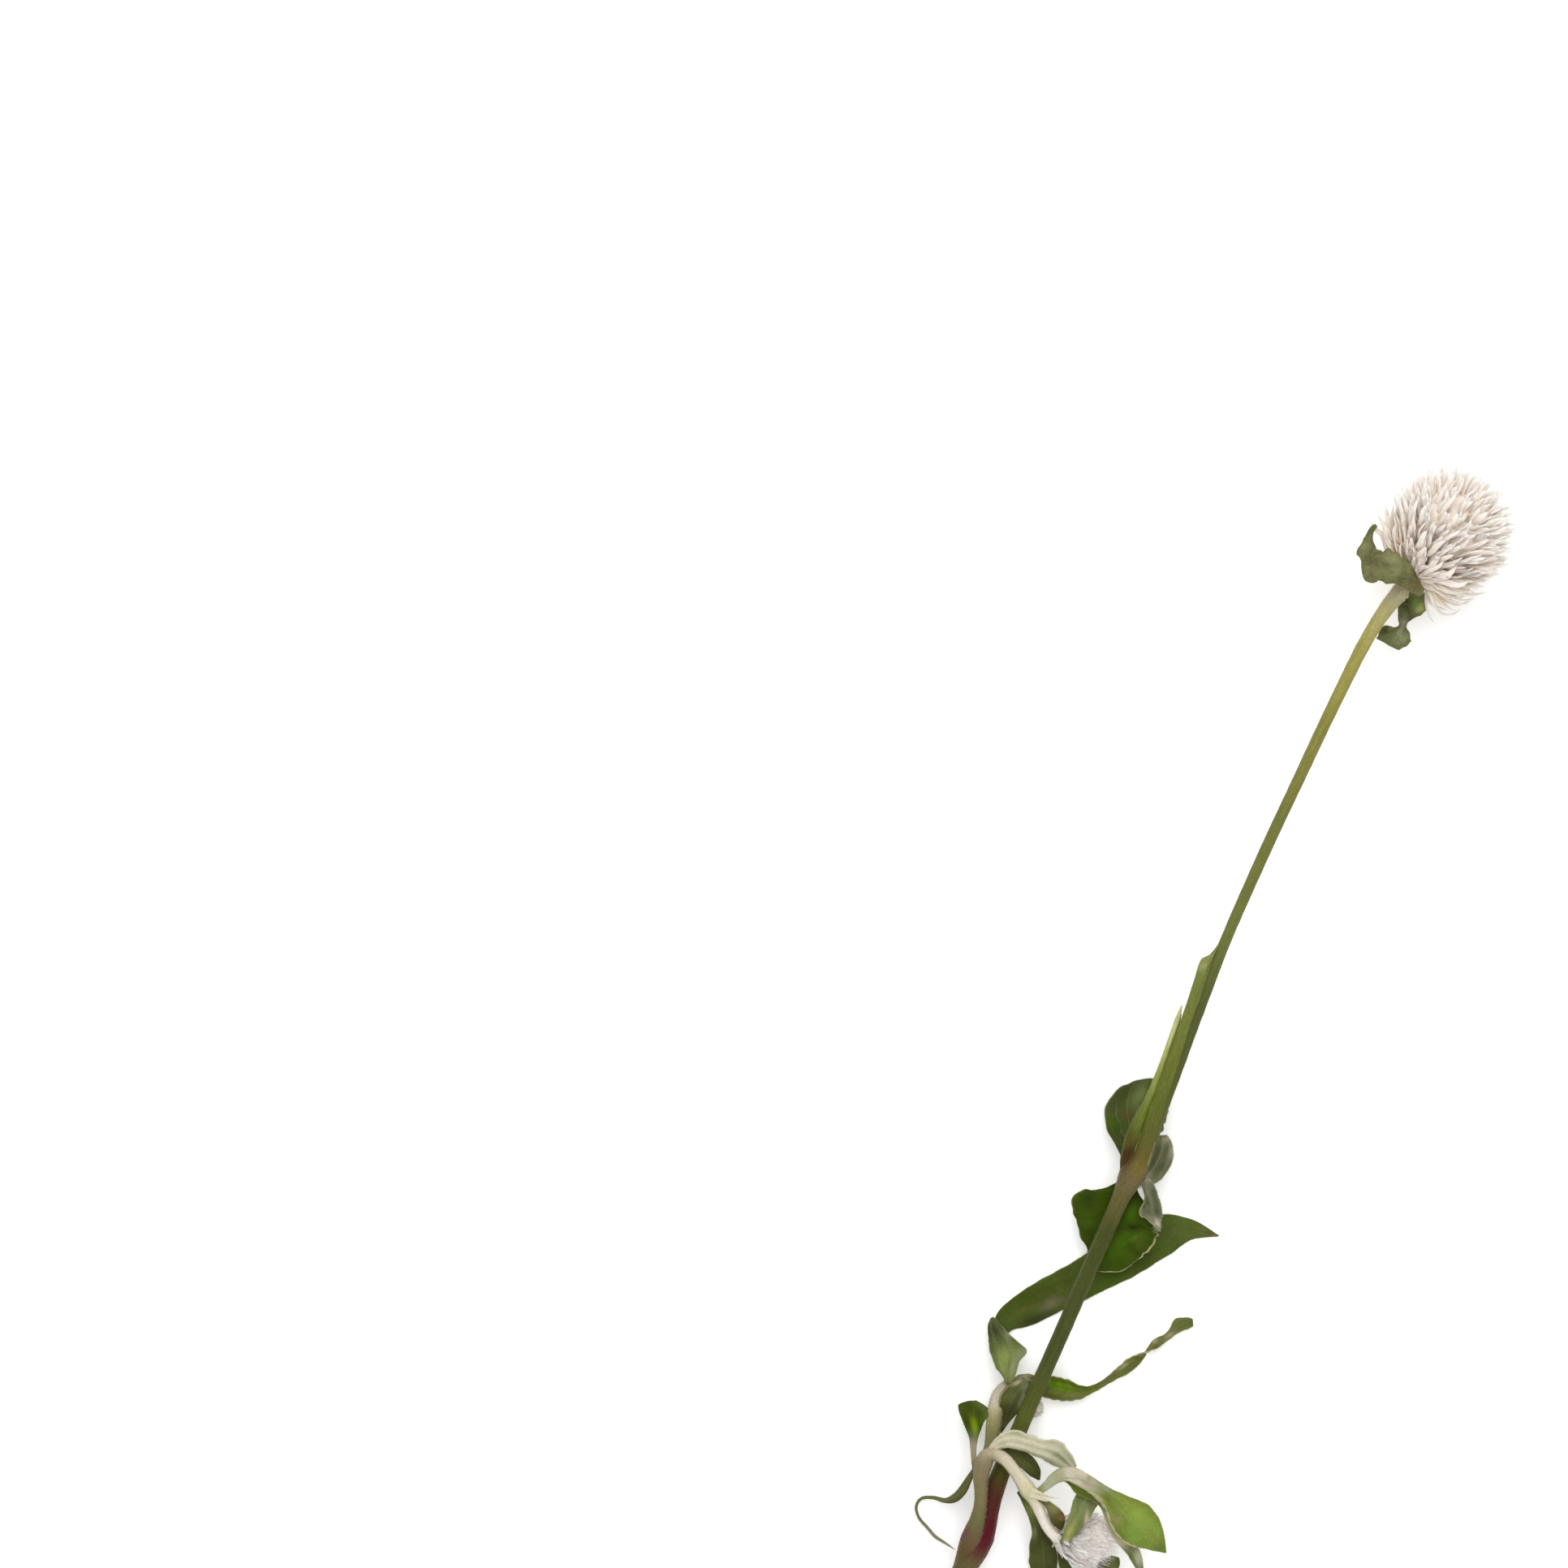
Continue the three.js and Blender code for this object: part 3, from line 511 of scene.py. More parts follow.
@dataclass(frozen=True)
class LeafFinish:
    """A leaf's skin: green between its veins, paler and felted below, with a dry margin."""

    name: str
    slot: Slot
    blade: int
    deep: int
    fresh: int
    vein: int
    margin: int
    back: int
    pairs: float = 7.0        # side veins on each half
    lean: float = 1.3         # how far a side vein runs forward, in steps between veins
    rib: float = 0.07         # half the midrib, as a share of half the blade
    midrib: float = 0.5       # how clearly the midrib shows
    lateral: float = 0.3      # how clearly the side veins show
    net: float = 0.03         # how clearly the finest veins show
    felt: float = 0.35        # how clearly the fine hairs show
    edge: float = 0.94        # where the margin starts, as a share of half the blade
    rim: float = 0.06         # how wide its soft start is
    stripe: float = 0.0       # how clearly ridges are paler and grooves greener where it is pleated
    sheen: float = 0.03

    def material(self) -> bpy.types.Material:
        """Draws the leaf's material on the blade's own map and stored colours.

        Returns:
            The material.
        """
        s = Sketch(self.name)
        place = s.place()
        chart = s.add("ShaderNodeUVMap", {}, 0, uv_map="UVMap")
        across = s.math("ABSOLUTE", s.math("MULTIPLY_ADD", s.split(chart, "X"), 2.0, -1.0))
        cloud = s.noise(place, 260)
        wander = s.math("MULTIPLY", s.math("SUBTRACT", cloud, 0.5), 0.9)
        steps = s.math("MULTIPLY_ADD", s.split(chart, "Y"), self.pairs, wander)
        phase = s.math("SUBTRACT", steps, s.math("MULTIPLY", across, self.lean))
        between = s.math("PINGPONG", phase, 0.5)
        fading = s.math("MULTIPLY", s.step(across, 0.97, 0.5), s.step(cloud, 0.25, 0.6))
        lateral = s.math("MULTIPLY", s.step(between, 0.1, 0.0, self.lateral), fading)
        midrib = s.step(across, self.rib, self.rib * 0.3, self.midrib)
        veins = s.math("MAXIMUM", lateral, midrib)
        net = s.step(s.net(place, 1150), 0.09, 0.0, 1.0)
        patches = s.step(s.noise(place, 130, 4.0), 0.36, 0.64, 0.8)
        flecks = s.step(s.noise(place, 520, 4.0), 0.5, 0.8, 0.7)
        grain = s.noise(place, 2900, 2.0)
        colour = s.mix(patches, self.blade, self.deep)
        colour = s.mix(flecks, colour, self.fresh)
        colour = s.mix(s.math("MULTIPLY", s.stored("under"), 0.8), colour, self.back)
        colour = s.washed(colour)
        if self.stripe:
            fold = s.math("MULTIPLY_ADD", wander, 0.8, s.stored("fold"))
            colour = s.mix(s.step(fold, 0.1, 0.9, self.stripe), colour, self.vein)
            colour = s.mix(s.step(fold, -0.1, -0.9, self.stripe), colour, self.deep)
        colour = s.mix(s.math("MULTIPLY", net, self.net), colour, self.vein)
        colour = s.mix(veins, colour, self.vein)
        colour = s.mottled(colour, self.felt, 0.35, grain)
        colour = s.mix(s.step(across, self.edge, self.edge + self.rim, 0.9), colour, self.margin)
        height = s.math("MULTIPLY_ADD", veins, -0.8, s.math("MULTIPLY", grain, 0.45))
        height = s.math("MULTIPLY_ADD", net, -0.06, height)
        height = s.math("MULTIPLY_ADD", flecks, 0.4, height)
        roughness = s.math("ADD", s.step(flecks, 0.0, 1.0, 0.1), 0.55)
        return s.finish(colour, roughness, s.bump(height, 0.00018, 0.9), Sheen_Weight=self.sheen,
                        Sheen_Roughness=0.5, Sheen_Tint=paint(0xE6E0C4), Specular_IOR_Level=0.07)


@dataclass(frozen=True)
class StemFinish:
    """A stem's skin: colours along its length, with fibres, grain and stained nodes."""

    name: str
    slot: Slot
    stops: tuple[tuple[float, int], ...]     # place along the stem in mm, and colour
    sheen: float = 0.1
    fibre: float = 0.3
    felt: float = 0.35
    sides: float = 0.0        # how clearly its sides are paler, where it is hairiest: partly the pale hairs, partly painted sheen along its edges
    pale: int = 0x8A8660

    def material(self) -> bpy.types.Material:
        """Draws the stem's material on its stored grain, which runs along it in mm.

        Returns:
            The material.
        """
        s = Sketch(self.name)
        low, high = self.stops[0][0], self.stops[-1][0]
        place = s.place()
        grain = s.stored("grain", "Vector")
        rise = s.math("DIVIDE", s.math("SUBTRACT", s.split(grain, "Z"), low), high - low)
        drift = s.math("MULTIPLY", s.math("SUBTRACT", s.noise(place, 120), 0.5), 0.015)
        stops = tuple(((y - low) / (high - low), c) for y, c in self.stops)
        colour = s.ramp(s.math("ADD", rise, drift), stops)
        colour = s.washed(colour)
        fibres = s.noise(s.stretch(grain, (3.4, 3.4, 0.35)), 1.0, 3.0)
        bands = s.noise(s.stretch(grain, (0.9, 0.9, 0.06)), 1.0, 2.0)
        specks = s.noise(place, 2700, 2.0)
        # Paler sides: partly the pale hairs there, partly painted sheen along the stem's edges.
        if self.sides:
            around = s.stretch(grain, (1.0, 1.0, 0.0))
            flat = s.add("ShaderNodeVectorMath", {0: around}, operation="NORMALIZE")
            turned = s.math("ABSOLUTE", s.split(flat, "X"))
            turned = s.math("MULTIPLY_ADD", s.math("SUBTRACT", bands, 0.5), 0.4, turned)
            colour = s.mix(s.step(turned, 0.6, 0.95, self.sides), colour, self.pale)
        colour = s.mottled(colour, self.fibre, self.fibre, fibres)
        colour = s.mottled(colour, 0.1, 0.35, bands)
        colour = s.mottled(colour, self.felt, 0.35, specks)
        height = s.math("MULTIPLY_ADD", fibres, 0.8, s.math("MULTIPLY", specks, 0.5))
        roughness = s.math("ADD", s.step(bands, 0.2, 0.8, 0.1), 0.55)
        return s.finish(colour, roughness, s.bump(height, 0.00014, 0.8), Sheen_Weight=self.sheen,
                        Sheen_Roughness=0.4, Sheen_Tint=paint(0xE6DCC4), Specular_IOR_Level=0.15)


@dataclass(frozen=True)
class BractFinish:
    """The papery bracts of a flower head, from their roots to their tips."""

    name: str
    slot: Slot
    stops: tuple[tuple[float, int], ...]     # share of the bract's length, and colour
    # the colour of painted shade, which the fine lines also use
    shade: int
    green: int
    rust: int
    glow: float = 0.5         # how much light passes through

    def material(self) -> bpy.types.Material:
        """Draws the bracts' material on the values that each bract stores.

        Returns:
            The material.
        """
        s = Sketch(self.name)
        place = s.place()
        reach = s.stored("reach")
        cloud = s.noise(place, 700, 3.0)
        at = s.math("MULTIPLY_ADD", s.math("SUBTRACT", cloud, 0.5), 0.3, reach)
        # Darker towards the roots: partly the bracts' own colour, partly painted shade in the gaps between
        # them.
        colour = s.ramp(at, self.stops)
        # The stored tint carries painted shade and a random tone towards the shade colour.
        colour = s.mix(s.math("MULTIPLY", s.stored("tint"), 0.6), colour, self.shade)
        low = s.math("MULTIPLY", s.step(s.noise(place, 130, 2.0), 0.5, 0.7, 0.4), s.step(reach, 0.7, 0.3))
        colour = s.mix(low, colour, self.green)
        colour = s.mix(s.step(s.stored("dry"), 0.1, 0.9, 0.9), colour, self.rust)
        own = {0: s.stored("width"), 1: s.math("MULTIPLY", reach, 0.35),
               2: s.math("MULTIPLY", s.stored("tint"), 9.0)}
        lines = s.noise(s.add("ShaderNodeCombineXYZ", own), 9.0, 3.0)
        colour = s.mix(s.step(lines, 0.5, 0.8, 0.35), colour, self.shade)
        height = s.math("MULTIPLY_ADD", cloud, 0.8, lines)
        return s.finish(colour, s.step(cloud, 0.0, 1.0, 0.8), s.bump(height, 0.0002, 0.8),
                        Subsurface_Weight=self.glow, Subsurface_Scale=0.0008,
                        Subsurface_Radius=(1.0, 0.94, 0.88),
                        Specular_IOR_Level=0.08)


@dataclass(frozen=True)
class HairFinish:
    """Fine pale hairs, clearer towards their tips."""

    name: str
    slot: Slot
    root: int
    tip: int

    def material(self) -> bpy.types.Material:
        """Draws the hairs' material.

        Returns:
            The material.
        """
        s = Sketch(self.name)
        cloud = s.noise(s.place(), 400, 2.0)
        reach = s.math("MULTIPLY_ADD", s.math("SUBTRACT", cloud, 0.5), 0.5, s.stored("reach"))
        colour = s.ramp(reach, ((0.0, self.root), (0.6, self.tip), (1.0, self.tip)))
        rough = s.step(cloud, 0.0, 1.0, 0.6)
        return s.finish(colour, rough, s.bump(cloud, 0.00002), Specular_IOR_Level=0.15)


# What repeats


@dataclass
class Form:
    """A small shape modelled once along Y, from its root at 0 to its tip at 1."""

    points: np.ndarray
    faces: list[tuple[int, ...]]

    @classmethod
    def modelled(cls, sides: int, cuts: int) -> "Form":
        """Models a cone, cut into rings, and takes its shape.

        Args:
            sides: Vertices round the cone.
            cuts: Rings cut into it.

        Returns:
            The shape, with its root ring one wide.
        """
        cone = start(bpy.ops.mesh.primitive_cone_add, "form", vertices=sides, radius1=0.5, radius2=0.0,
                     depth=1.0)
        if cuts:
            cut_rings(cone, cuts)
        standing = coordinates(cone)
        points = np.stack([standing[:, 0], standing[:, 2] + 0.5, -standing[:, 1]], axis=1)
        faces = [tuple(face.vertices) for face in cone.data.polygons]
        bpy.data.objects.remove(cone)
        return cls(points, faces)

    def profiled(self, share: Callable[[np.ndarray], np.ndarray]) -> "Form":
        """Gives each ring its own width in place of the cone's.

        Args:
            share: A function from the place along Y to the ring's width.

        Returns:
            The new shape.
        """
        y = self.points[:, 1]
        scale = np.where(y > 0.999, 0.0, share(y) / np.maximum(1 - y, 1e-6))
        points = self.points.copy()
        points[:, 0] *= scale
        points[:, 2] *= scale
        return Form(points, self.faces)


class Cluster:
    """Many copies of small shapes, joined in one mesh."""

    def __init__(self, name: str) -> None:
        """Starts an empty cluster.

        Args:
            name: The piece's name.
        """
        self.name = name
        self.points: list[np.ndarray] = []
        self.faces: list[tuple[int, ...]] = []
        self.stored: dict[str, list[np.ndarray]] = {"reach": [], "width": [], "tint": [], "dry": []}
        self.count = 0

    def add(self, form: Form, copies: np.ndarray, tint: float = 0.0,
            dry: float | np.ndarray = 0.0) -> None:
        """Adds copies of a shape.

        Args:
            form: The shape that was copied.
            copies: The vertices of each copy, in millimetres.
            tint: How far the copies are darkened towards the shade colour, from 0 to 1: painted shade and a
                random tone.
            dry: How dry they are towards their tips, from 0 to 1, for all or for each vertex.
        """
        number, each = copies.shape[:2]
        self.points.append(copies.reshape(-1, 3))
        for k in range(number):
            first = self.count + k * each
            self.faces.extend(tuple(first + i for i in face) for face in form.faces)
        self.count += number * each
        reach = np.tile(form.points[:, 1], number)
        self.stored["reach"].append(reach)
        self.stored["width"].append(np.tile(form.points[:, 0], number))
        self.stored["tint"].append(np.full(number * each, tint))
        self.stored["dry"].append(reach * dry)

    def build(self, finish: object, *nodes: str) -> bpy.types.Object:
        """Makes the mesh with its material.

        Args:
            finish: The finish of all the copies.
            nodes: The CAD nodes that the piece replaces.

        Returns:
            The finished piece.
        """
        points = np.concatenate(self.points)
        points[:, 2] = np.maximum(points[:, 2], 0.0)
        mesh = bpy.data.meshes.new(self.name)
        mesh.from_pydata((points * MM).tolist(), [], self.faces)
        piece = bpy.data.objects.new(self.name, mesh)
        bpy.context.scene.collection.objects.link(piece)
        for key, parts in self.stored.items():
            set_attribute(piece, key, np.concatenate(parts))
        mesh.materials.append(FINISHES.get(finish))
        settle(piece, finish.slot, *nodes)
        return piece


class HairCoat:
    """The fine hairs of one sub-assembly."""

    def __init__(self, name: str, finish: HairFinish, width: float = 0.028) -> None:
        """Starts a coat with no hairs.

        Args:
            name: The piece's name.
            finish: The hairs' finish.
            width: A hair's width at its root, in millimetres.
        """
        self.cluster = Cluster(name)
        self.finish = finish
        self.width = width
        self.rng = np.random.default_rng(len(name))
        self.form = Form.modelled(3, 0)

    def plant(self, roots: np.ndarray, directions: np.ndarray, lengths: np.ndarray) -> None:
        """Adds hairs.

        Args:
            roots: Where the hairs stand, in millimetres.
            directions: Which way each one grows.
            lengths: How long each one is, in millimetres.
        """
        run = unit(directions)
        side = unit(np.cross(run, self.rng.normal(size=run.shape)))
        lift = np.cross(side, run)
        x, y, z = self.form.points.T[:, None, :, None]
        copies = (roots[:, None] + run[:, None] * y * lengths[:, None, None]
                  + self.width * (side[:, None] * x + lift[:, None] * z))
        self.cluster.add(self.form, copies)

    def build(self) -> bpy.types.Object:
        """Makes the coat's mesh."""
        return self.cluster.build(self.finish)


Finish = LeafFinish | StemFinish | BractFinish | HairFinish


class Finishes:
    """The materials, each made once from its finish."""

    def __init__(self) -> None:
        """Starts with none made."""
        self.made: dict[Finish, bpy.types.Material] = {}

    def get(self, finish: Finish) -> bpy.types.Material:
        """Makes a finish's material, the first time that it is asked for.

        Args:
            finish: One of the finishes.

        Returns:
            Its material.
        """
        if finish not in self.made:
            self.made[finish] = finish.material()
        return self.made[finish]


FINISHES = Finishes()


# Stems


@dataclass
class Rod:
    """A stem or stalk. A row is x, y, z, half width and half height."""

    name: str
    finish: StemFinish
    rows: Rows
    nodes: tuple[str, ...] = ()
    sides: int = 32
    pitch: float = 1.6                # between rings, mm
    ribs: int = 9
    depth: float = 0.035              # of the ribs, as a share of the radius
    slant: float = 0.0                # of the first end
    first: float = 0.0                # the first end's place on the finish's scale, mm
    washes: tuple[Patch, ...] = ()
    hairs_per_mm: float = 30.0
    hair_length: tuple[float, float] = (0.2, 0.5)
    seed: int = 5

    def surface(self, turn: np.ndarray, t: np.ndarray) -> np.ndarray:
        """Places on the rod's skin.

        Args:
            turn: The angle round the rod, in radians.
            t: Along the rod, from 0 to 1.

        Returns:
            The places in millimetres.
        """
        path = track(self.rows, t)
        wide, high = path.values[:, 3], path.values[:, 4]
        twist = turn + 0.25 * np.sin(t * 7 + self.seed)
        rib = 1 + self.depth * np.cos(self.ribs * twist)
        rib = rib + 0.4 * self.depth * np.sin(2.3 * self.ribs * twist + 5 * np.sin(t * 9))
        rib = rib + 0.025 * waves(self.seed, path.point[:, 1], turn, 9.0)
        out = path.side * (np.cos(turn) * wide * rib)[:, None]
        out = out + path.face * (np.sin(turn) * high * rib)[:, None]
        slope = path.run * (np.cos(turn) * wide * self.slant * (t < 1e-6))[:, None]
        return path.point + out - slope

    def build(self) -> bpy.types.Object:
        """Cuts a cylinder into rings and lays it along the rod's curve.

        Returns:
            The finished rod.
        """
        measure = Measure(self.rows)
        rod = start(bpy.ops.mesh.primitive_cylinder_add, self.name, vertices=self.sides, radius=1.0,
                    depth=1.0)
        rings = max(8, round(measure.total / self.pitch))
        if rings > MOST_CUTS:
            cut_rings(rod, rings // 2)
            cut_rings(rod, 1)
        else:
            cut_rings(rod, rings)
        shape = coordinates(rod)
        turn, share = np.arctan2(shape[:, 1], shape[:, 0]), np.clip(shape[:, 2] + 0.5, 0, 1)
        t = measure.place(share)
        points = self.surface(turn, t)
        points[:, 2] = np.maximum(points[:, 2], 0.0)
        set_coordinates(rod, points * MM)
        path = along(self.rows, t)
        radius = (path[:, 3] + path[:, 4]) / 2
        lengthwise = self.first + share * measure.total
        grain = np.stack([np.cos(turn) * radius, np.sin(turn) * radius, lengthwise], axis=1)
        set_attribute(rod, "grain", grain)
        store_wash(rod, self.washes, points)
        rod.data.materials.append(FINISHES.get(self.finish))
        settle(rod, self.finish.slot, *self.nodes)
        return rod

    def hairs(self, coat: HairCoat) -> None:
        """Plants hairs that lean along the rod, most of them on its sides.

        Args:
            coat: The coat that they join.
        """
        rng = np.random.default_rng(self.seed)
        measure = Measure(self.rows)
        count = round(measure.total * self.hairs_per_mm)
        t = measure.place(rng.uniform(0.005, 0.99, count))
        turn = rng.choice([0.0, np.pi], count) + rng.normal(0, 0.5, count)
        roots = self.surface(turn, t)
        path = track(self.rows, t)
        out = unit(roots - path.point)
        lean = out * 0.7 + path.run * 0.6 + rng.normal(0, 0.3, (count, 3))
        coat.plant(roots - out * 0.03, lean, rng.uniform(*self.hair_length, count))


# Leaves


@dataclass
class LeafBlade:
    """One leaf. A row of its midrib is x, y, z, half width left and right, roll and cup."""

    node: str
    finish: LeafFinish
    rows: Rows
    wave: tuple[float, float, float] = (0.0, 1.0, 0.0)
    washes: tuple[Patch, ...] = ()
    rims: tuple[tuple[float, float, float, float], ...] = ()   # rolled margins: side, from, to, radius
    ragged: float = 0.04               # how uneven the outline is
    crumple: float = 0.12              # how far the blade is crumpled, mm
    folds: tuple[float, float, float] = (0.0, 1.25, 0.0)   # depth in mm, number on each half, shift
    quilt: float = 0.08                # how far it swells between its side veins, mm
    down: float = 0.0                  # hairs on each square millimetre
    fringe: float = 8.0                # hairs on each millimetre of margin
    fringe_length: float = 0.4
    thickness: float = 0.34
    density: float = 1.5               # rings of vertices for each millimetre
    seed: int = 1
    measure: Measure = field(init=False)

    def __post_init__(self) -> None:
        """Measures the midrib."""
        self.measure = Measure(self.rows)

    def surface(self, f: np.ndarray, v: np.ndarray) -> np.ndarray:
        """Places on the blade's middle sheet.

        Args:
            f: Across the blade, from -1 at its left margin to 1 at its right.
            v: Along the midrib, from 0 to 1.

        Returns:
            The places in millimetres.
        """
        t = self.measure.place(v)
        path = track(self.rows, t)
        left, right, roll, cup = path.values[:, 3:7].T
        turn = np.radians(roll)[:, None]
        side = path.side * np.cos(turn) - path.face * np.sin(turn)
        face = path.face * np.cos(turn) + path.side * np.sin(turn)
        bend = np.radians(np.where(np.abs(cup) < 0.5, 0.5, cup))
        far = v * self.measure.total
        uneven = 1 + self.ragged * waves(self.seed + 50, far, 9.0 * np.sign(f), 5.0)
        width = np.maximum(np.where(f < 0, left, right) * uneven, 0.1)
        arc = width * np.abs(bend) / np.sin(np.abs(bend))
        height, number, phase = self.wave
        small = np.minimum(1, width / 2.5)
        lift = height * np.sin(2 * np.pi * number * t + phase + 2 * (f < 0)) * f**2
        ruffle = waves(self.seed + 20, far, 9.0 * np.sign(f), 2.6)
        lift = lift + 0.22 * self.ragged / 0.04 * ruffle * np.abs(f) ** 3
        lift = lift + self.crumple * waves(self.seed + 10, far, f * width, 4.5)
        lift = lift + self.folds[0] * self.fold(f, far)
        swell = -np.cos(2 * np.pi * (v * self.finish.pairs - np.abs(f) * self.finish.lean))
        lift = lift + self.quilt * swell * np.abs(f) ** 0.5 * (1 - f**2)
        lift = lift - 0.1 * np.exp(-((f * width / 0.35) ** 2))
        out = arc * np.sin(bend * f) / bend
        rise = arc * (1 - np.cos(bend * f)) / bend + lift * small
        return path.point + side * out[:, None] + face * rise[:, None]

    def fold(self, f: np.ndarray, far: np.ndarray) -> np.ndarray:
        """Where a place lies on the lengthwise folds, from 1 on a ridge to -1 in a groove."""
        drift = 0.5 * np.sin(far * 0.4 + self.seed)
        return np.cos(2 * np.pi * self.folds[1] * (f - self.folds[2]) + drift)

    def normal(self, f: np.ndarray, v: np.ndarray) -> np.ndarray:
        """Finds which way the blade faces.

        Args:
            f: Across the blade, from -1 to 1.
            v: Along the midrib, from 0 to 1.

        Returns:
            The upward direction at each place.
        """
        across = self.surface(np.minimum(f + 0.05, 1), v) - self.surface(np.maximum(f - 0.05, -1), v)
        onward = self.surface(f, np.minimum(v + 0.01, 1)) - self.surface(f, np.maximum(v - 0.01, 0))
        return unit(np.cross(across, onward))

    def build(self) -> bpy.types.Object:
        """Shapes a grid into the blade, gives it its thickness and rounds its margin.

        Returns:
            The finished leaf.
        """
        rings = max(14, round(self.measure.total * self.density))
        blade = start(bpy.ops.mesh.primitive_grid_add, f"{self.node}_blade", size=1.0, x_subdivisions=14,
                      y_subdivisions=rings)
        grid = coordinates(blade)
        f, v = 2 * grid[:, 0], grid[:, 1] + 0.5
        sheet = self.surface(f, v)
        sheet[:, 2] = np.maximum(sheet[:, 2], self.thickness / 2 + LIFT)
        set_coordinates(blade, sheet * MM)
        count = len(sheet)
        apply_modifier(blade, "SOLIDIFY", thickness=self.thickness * MM, offset=0.0)
        shells = coordinates(blade)
        gap = shells[:count] - shells[count : 2 * count]
        first_above = np.sum(gap * self.normal(f, v), axis=1).mean() > 0
        under = np.zeros(len(shells))
        under[slice(count, None) if first_above else slice(0, count)] = 1.0
        set_attribute(blade, "under", under)
        set_attribute(blade, "fold", np.resize(self.fold(f, v * self.measure.total), len(shells)))
        apply_modifier(blade, "SUBSURF", levels=1, render_levels=1)
        store_wash(blade, self.washes, coordinates(blade) / MM)
        blade.data.materials.append(FINISHES.get(self.finish))
        settle(blade, self.finish.slot, self.node)
        for k, (side, low, high, radius) in enumerate(self.rims):
            self.rolled_margin(f"{self.node}_margin_{k + 1}", side, low, high, radius).build()
        return blade

    def rolled_margin(self, name: str, side: float, low: float, high: float, radius: float) -> Rod:
        """A stretch of margin that has dried and rolled in.

        Args:
            name: The piece's name.
            side: Which margin, -1 for left and 1 for right.
            low: Where it starts along the midrib.
            high: Where it ends.
            radius: Of the roll, in millimetres.

        Returns:
            The roll.
        """
        number = max(8, round(self.measure.total * (high - low) * 1.3))
        v = np.linspace(low, high, number)
        places = self.surface(np.full(number, side * 0.985), v)
        ends = smooth(v, low, low + 0.1) * smooth(v, high, high - 0.08)
        uneven = 1 + 0.4 * waves(self.seed, v * self.measure.total, 0 * v, 2.2)
        size = radius * (0.25 + 0.75 * ends) * uneven
        rows = tuple((*p, 1.1 * r, r) for p, r in zip(places.tolist(), size.tolist()))
        return Rod(name, ROLLED, rows, sides=10, pitch=0.5, ribs=2, depth=0.12, seed=self.seed)

    def hairs(self, coat: HairCoat) -> None:
        """Plants the leaf's hairs: a fringe on the margin and down on both faces.

        Args:
            coat: The coat that they join.
        """
        rng = np.random.default_rng(self.seed)
        count = round(2 * self.measure.total * self.fringe)
        v = rng.uniform(0.03, 1.0, count)
        f = rng.choice([-1.0, 1.0], count)
        edge = self.surface(f, v)
        out = unit(edge - self.surface(f * 0.8, v))
        lengths = self.fringe_length * rng.uniform(0.5, 1.3, count)
        coat.plant(edge - out * 0.05, out + rng.normal(0, 0.5, (count, 3)), lengths)
        widths = along(self.rows, np.linspace(0, 1, 40))[:, 3:5]
        count = round(self.measure.total * widths.mean() * 2 * self.down)
        v = rng.uniform(0.03, 0.98, count)
        f = rng.uniform(-0.95, 0.95, count)
        up = self.normal(f, v) * rng.choice([-1.0, 1.0], count)[:, None]
        lean = up * 0.4 + track(self.rows, self.measure.place(v)).run * 0.8 + rng.normal(0, 0.35, (count, 3))
        coat.plant(self.surface(f, v) + up * self.thickness * 0.45, lean, rng.uniform(0.2, 0.5, count))


# Flower heads


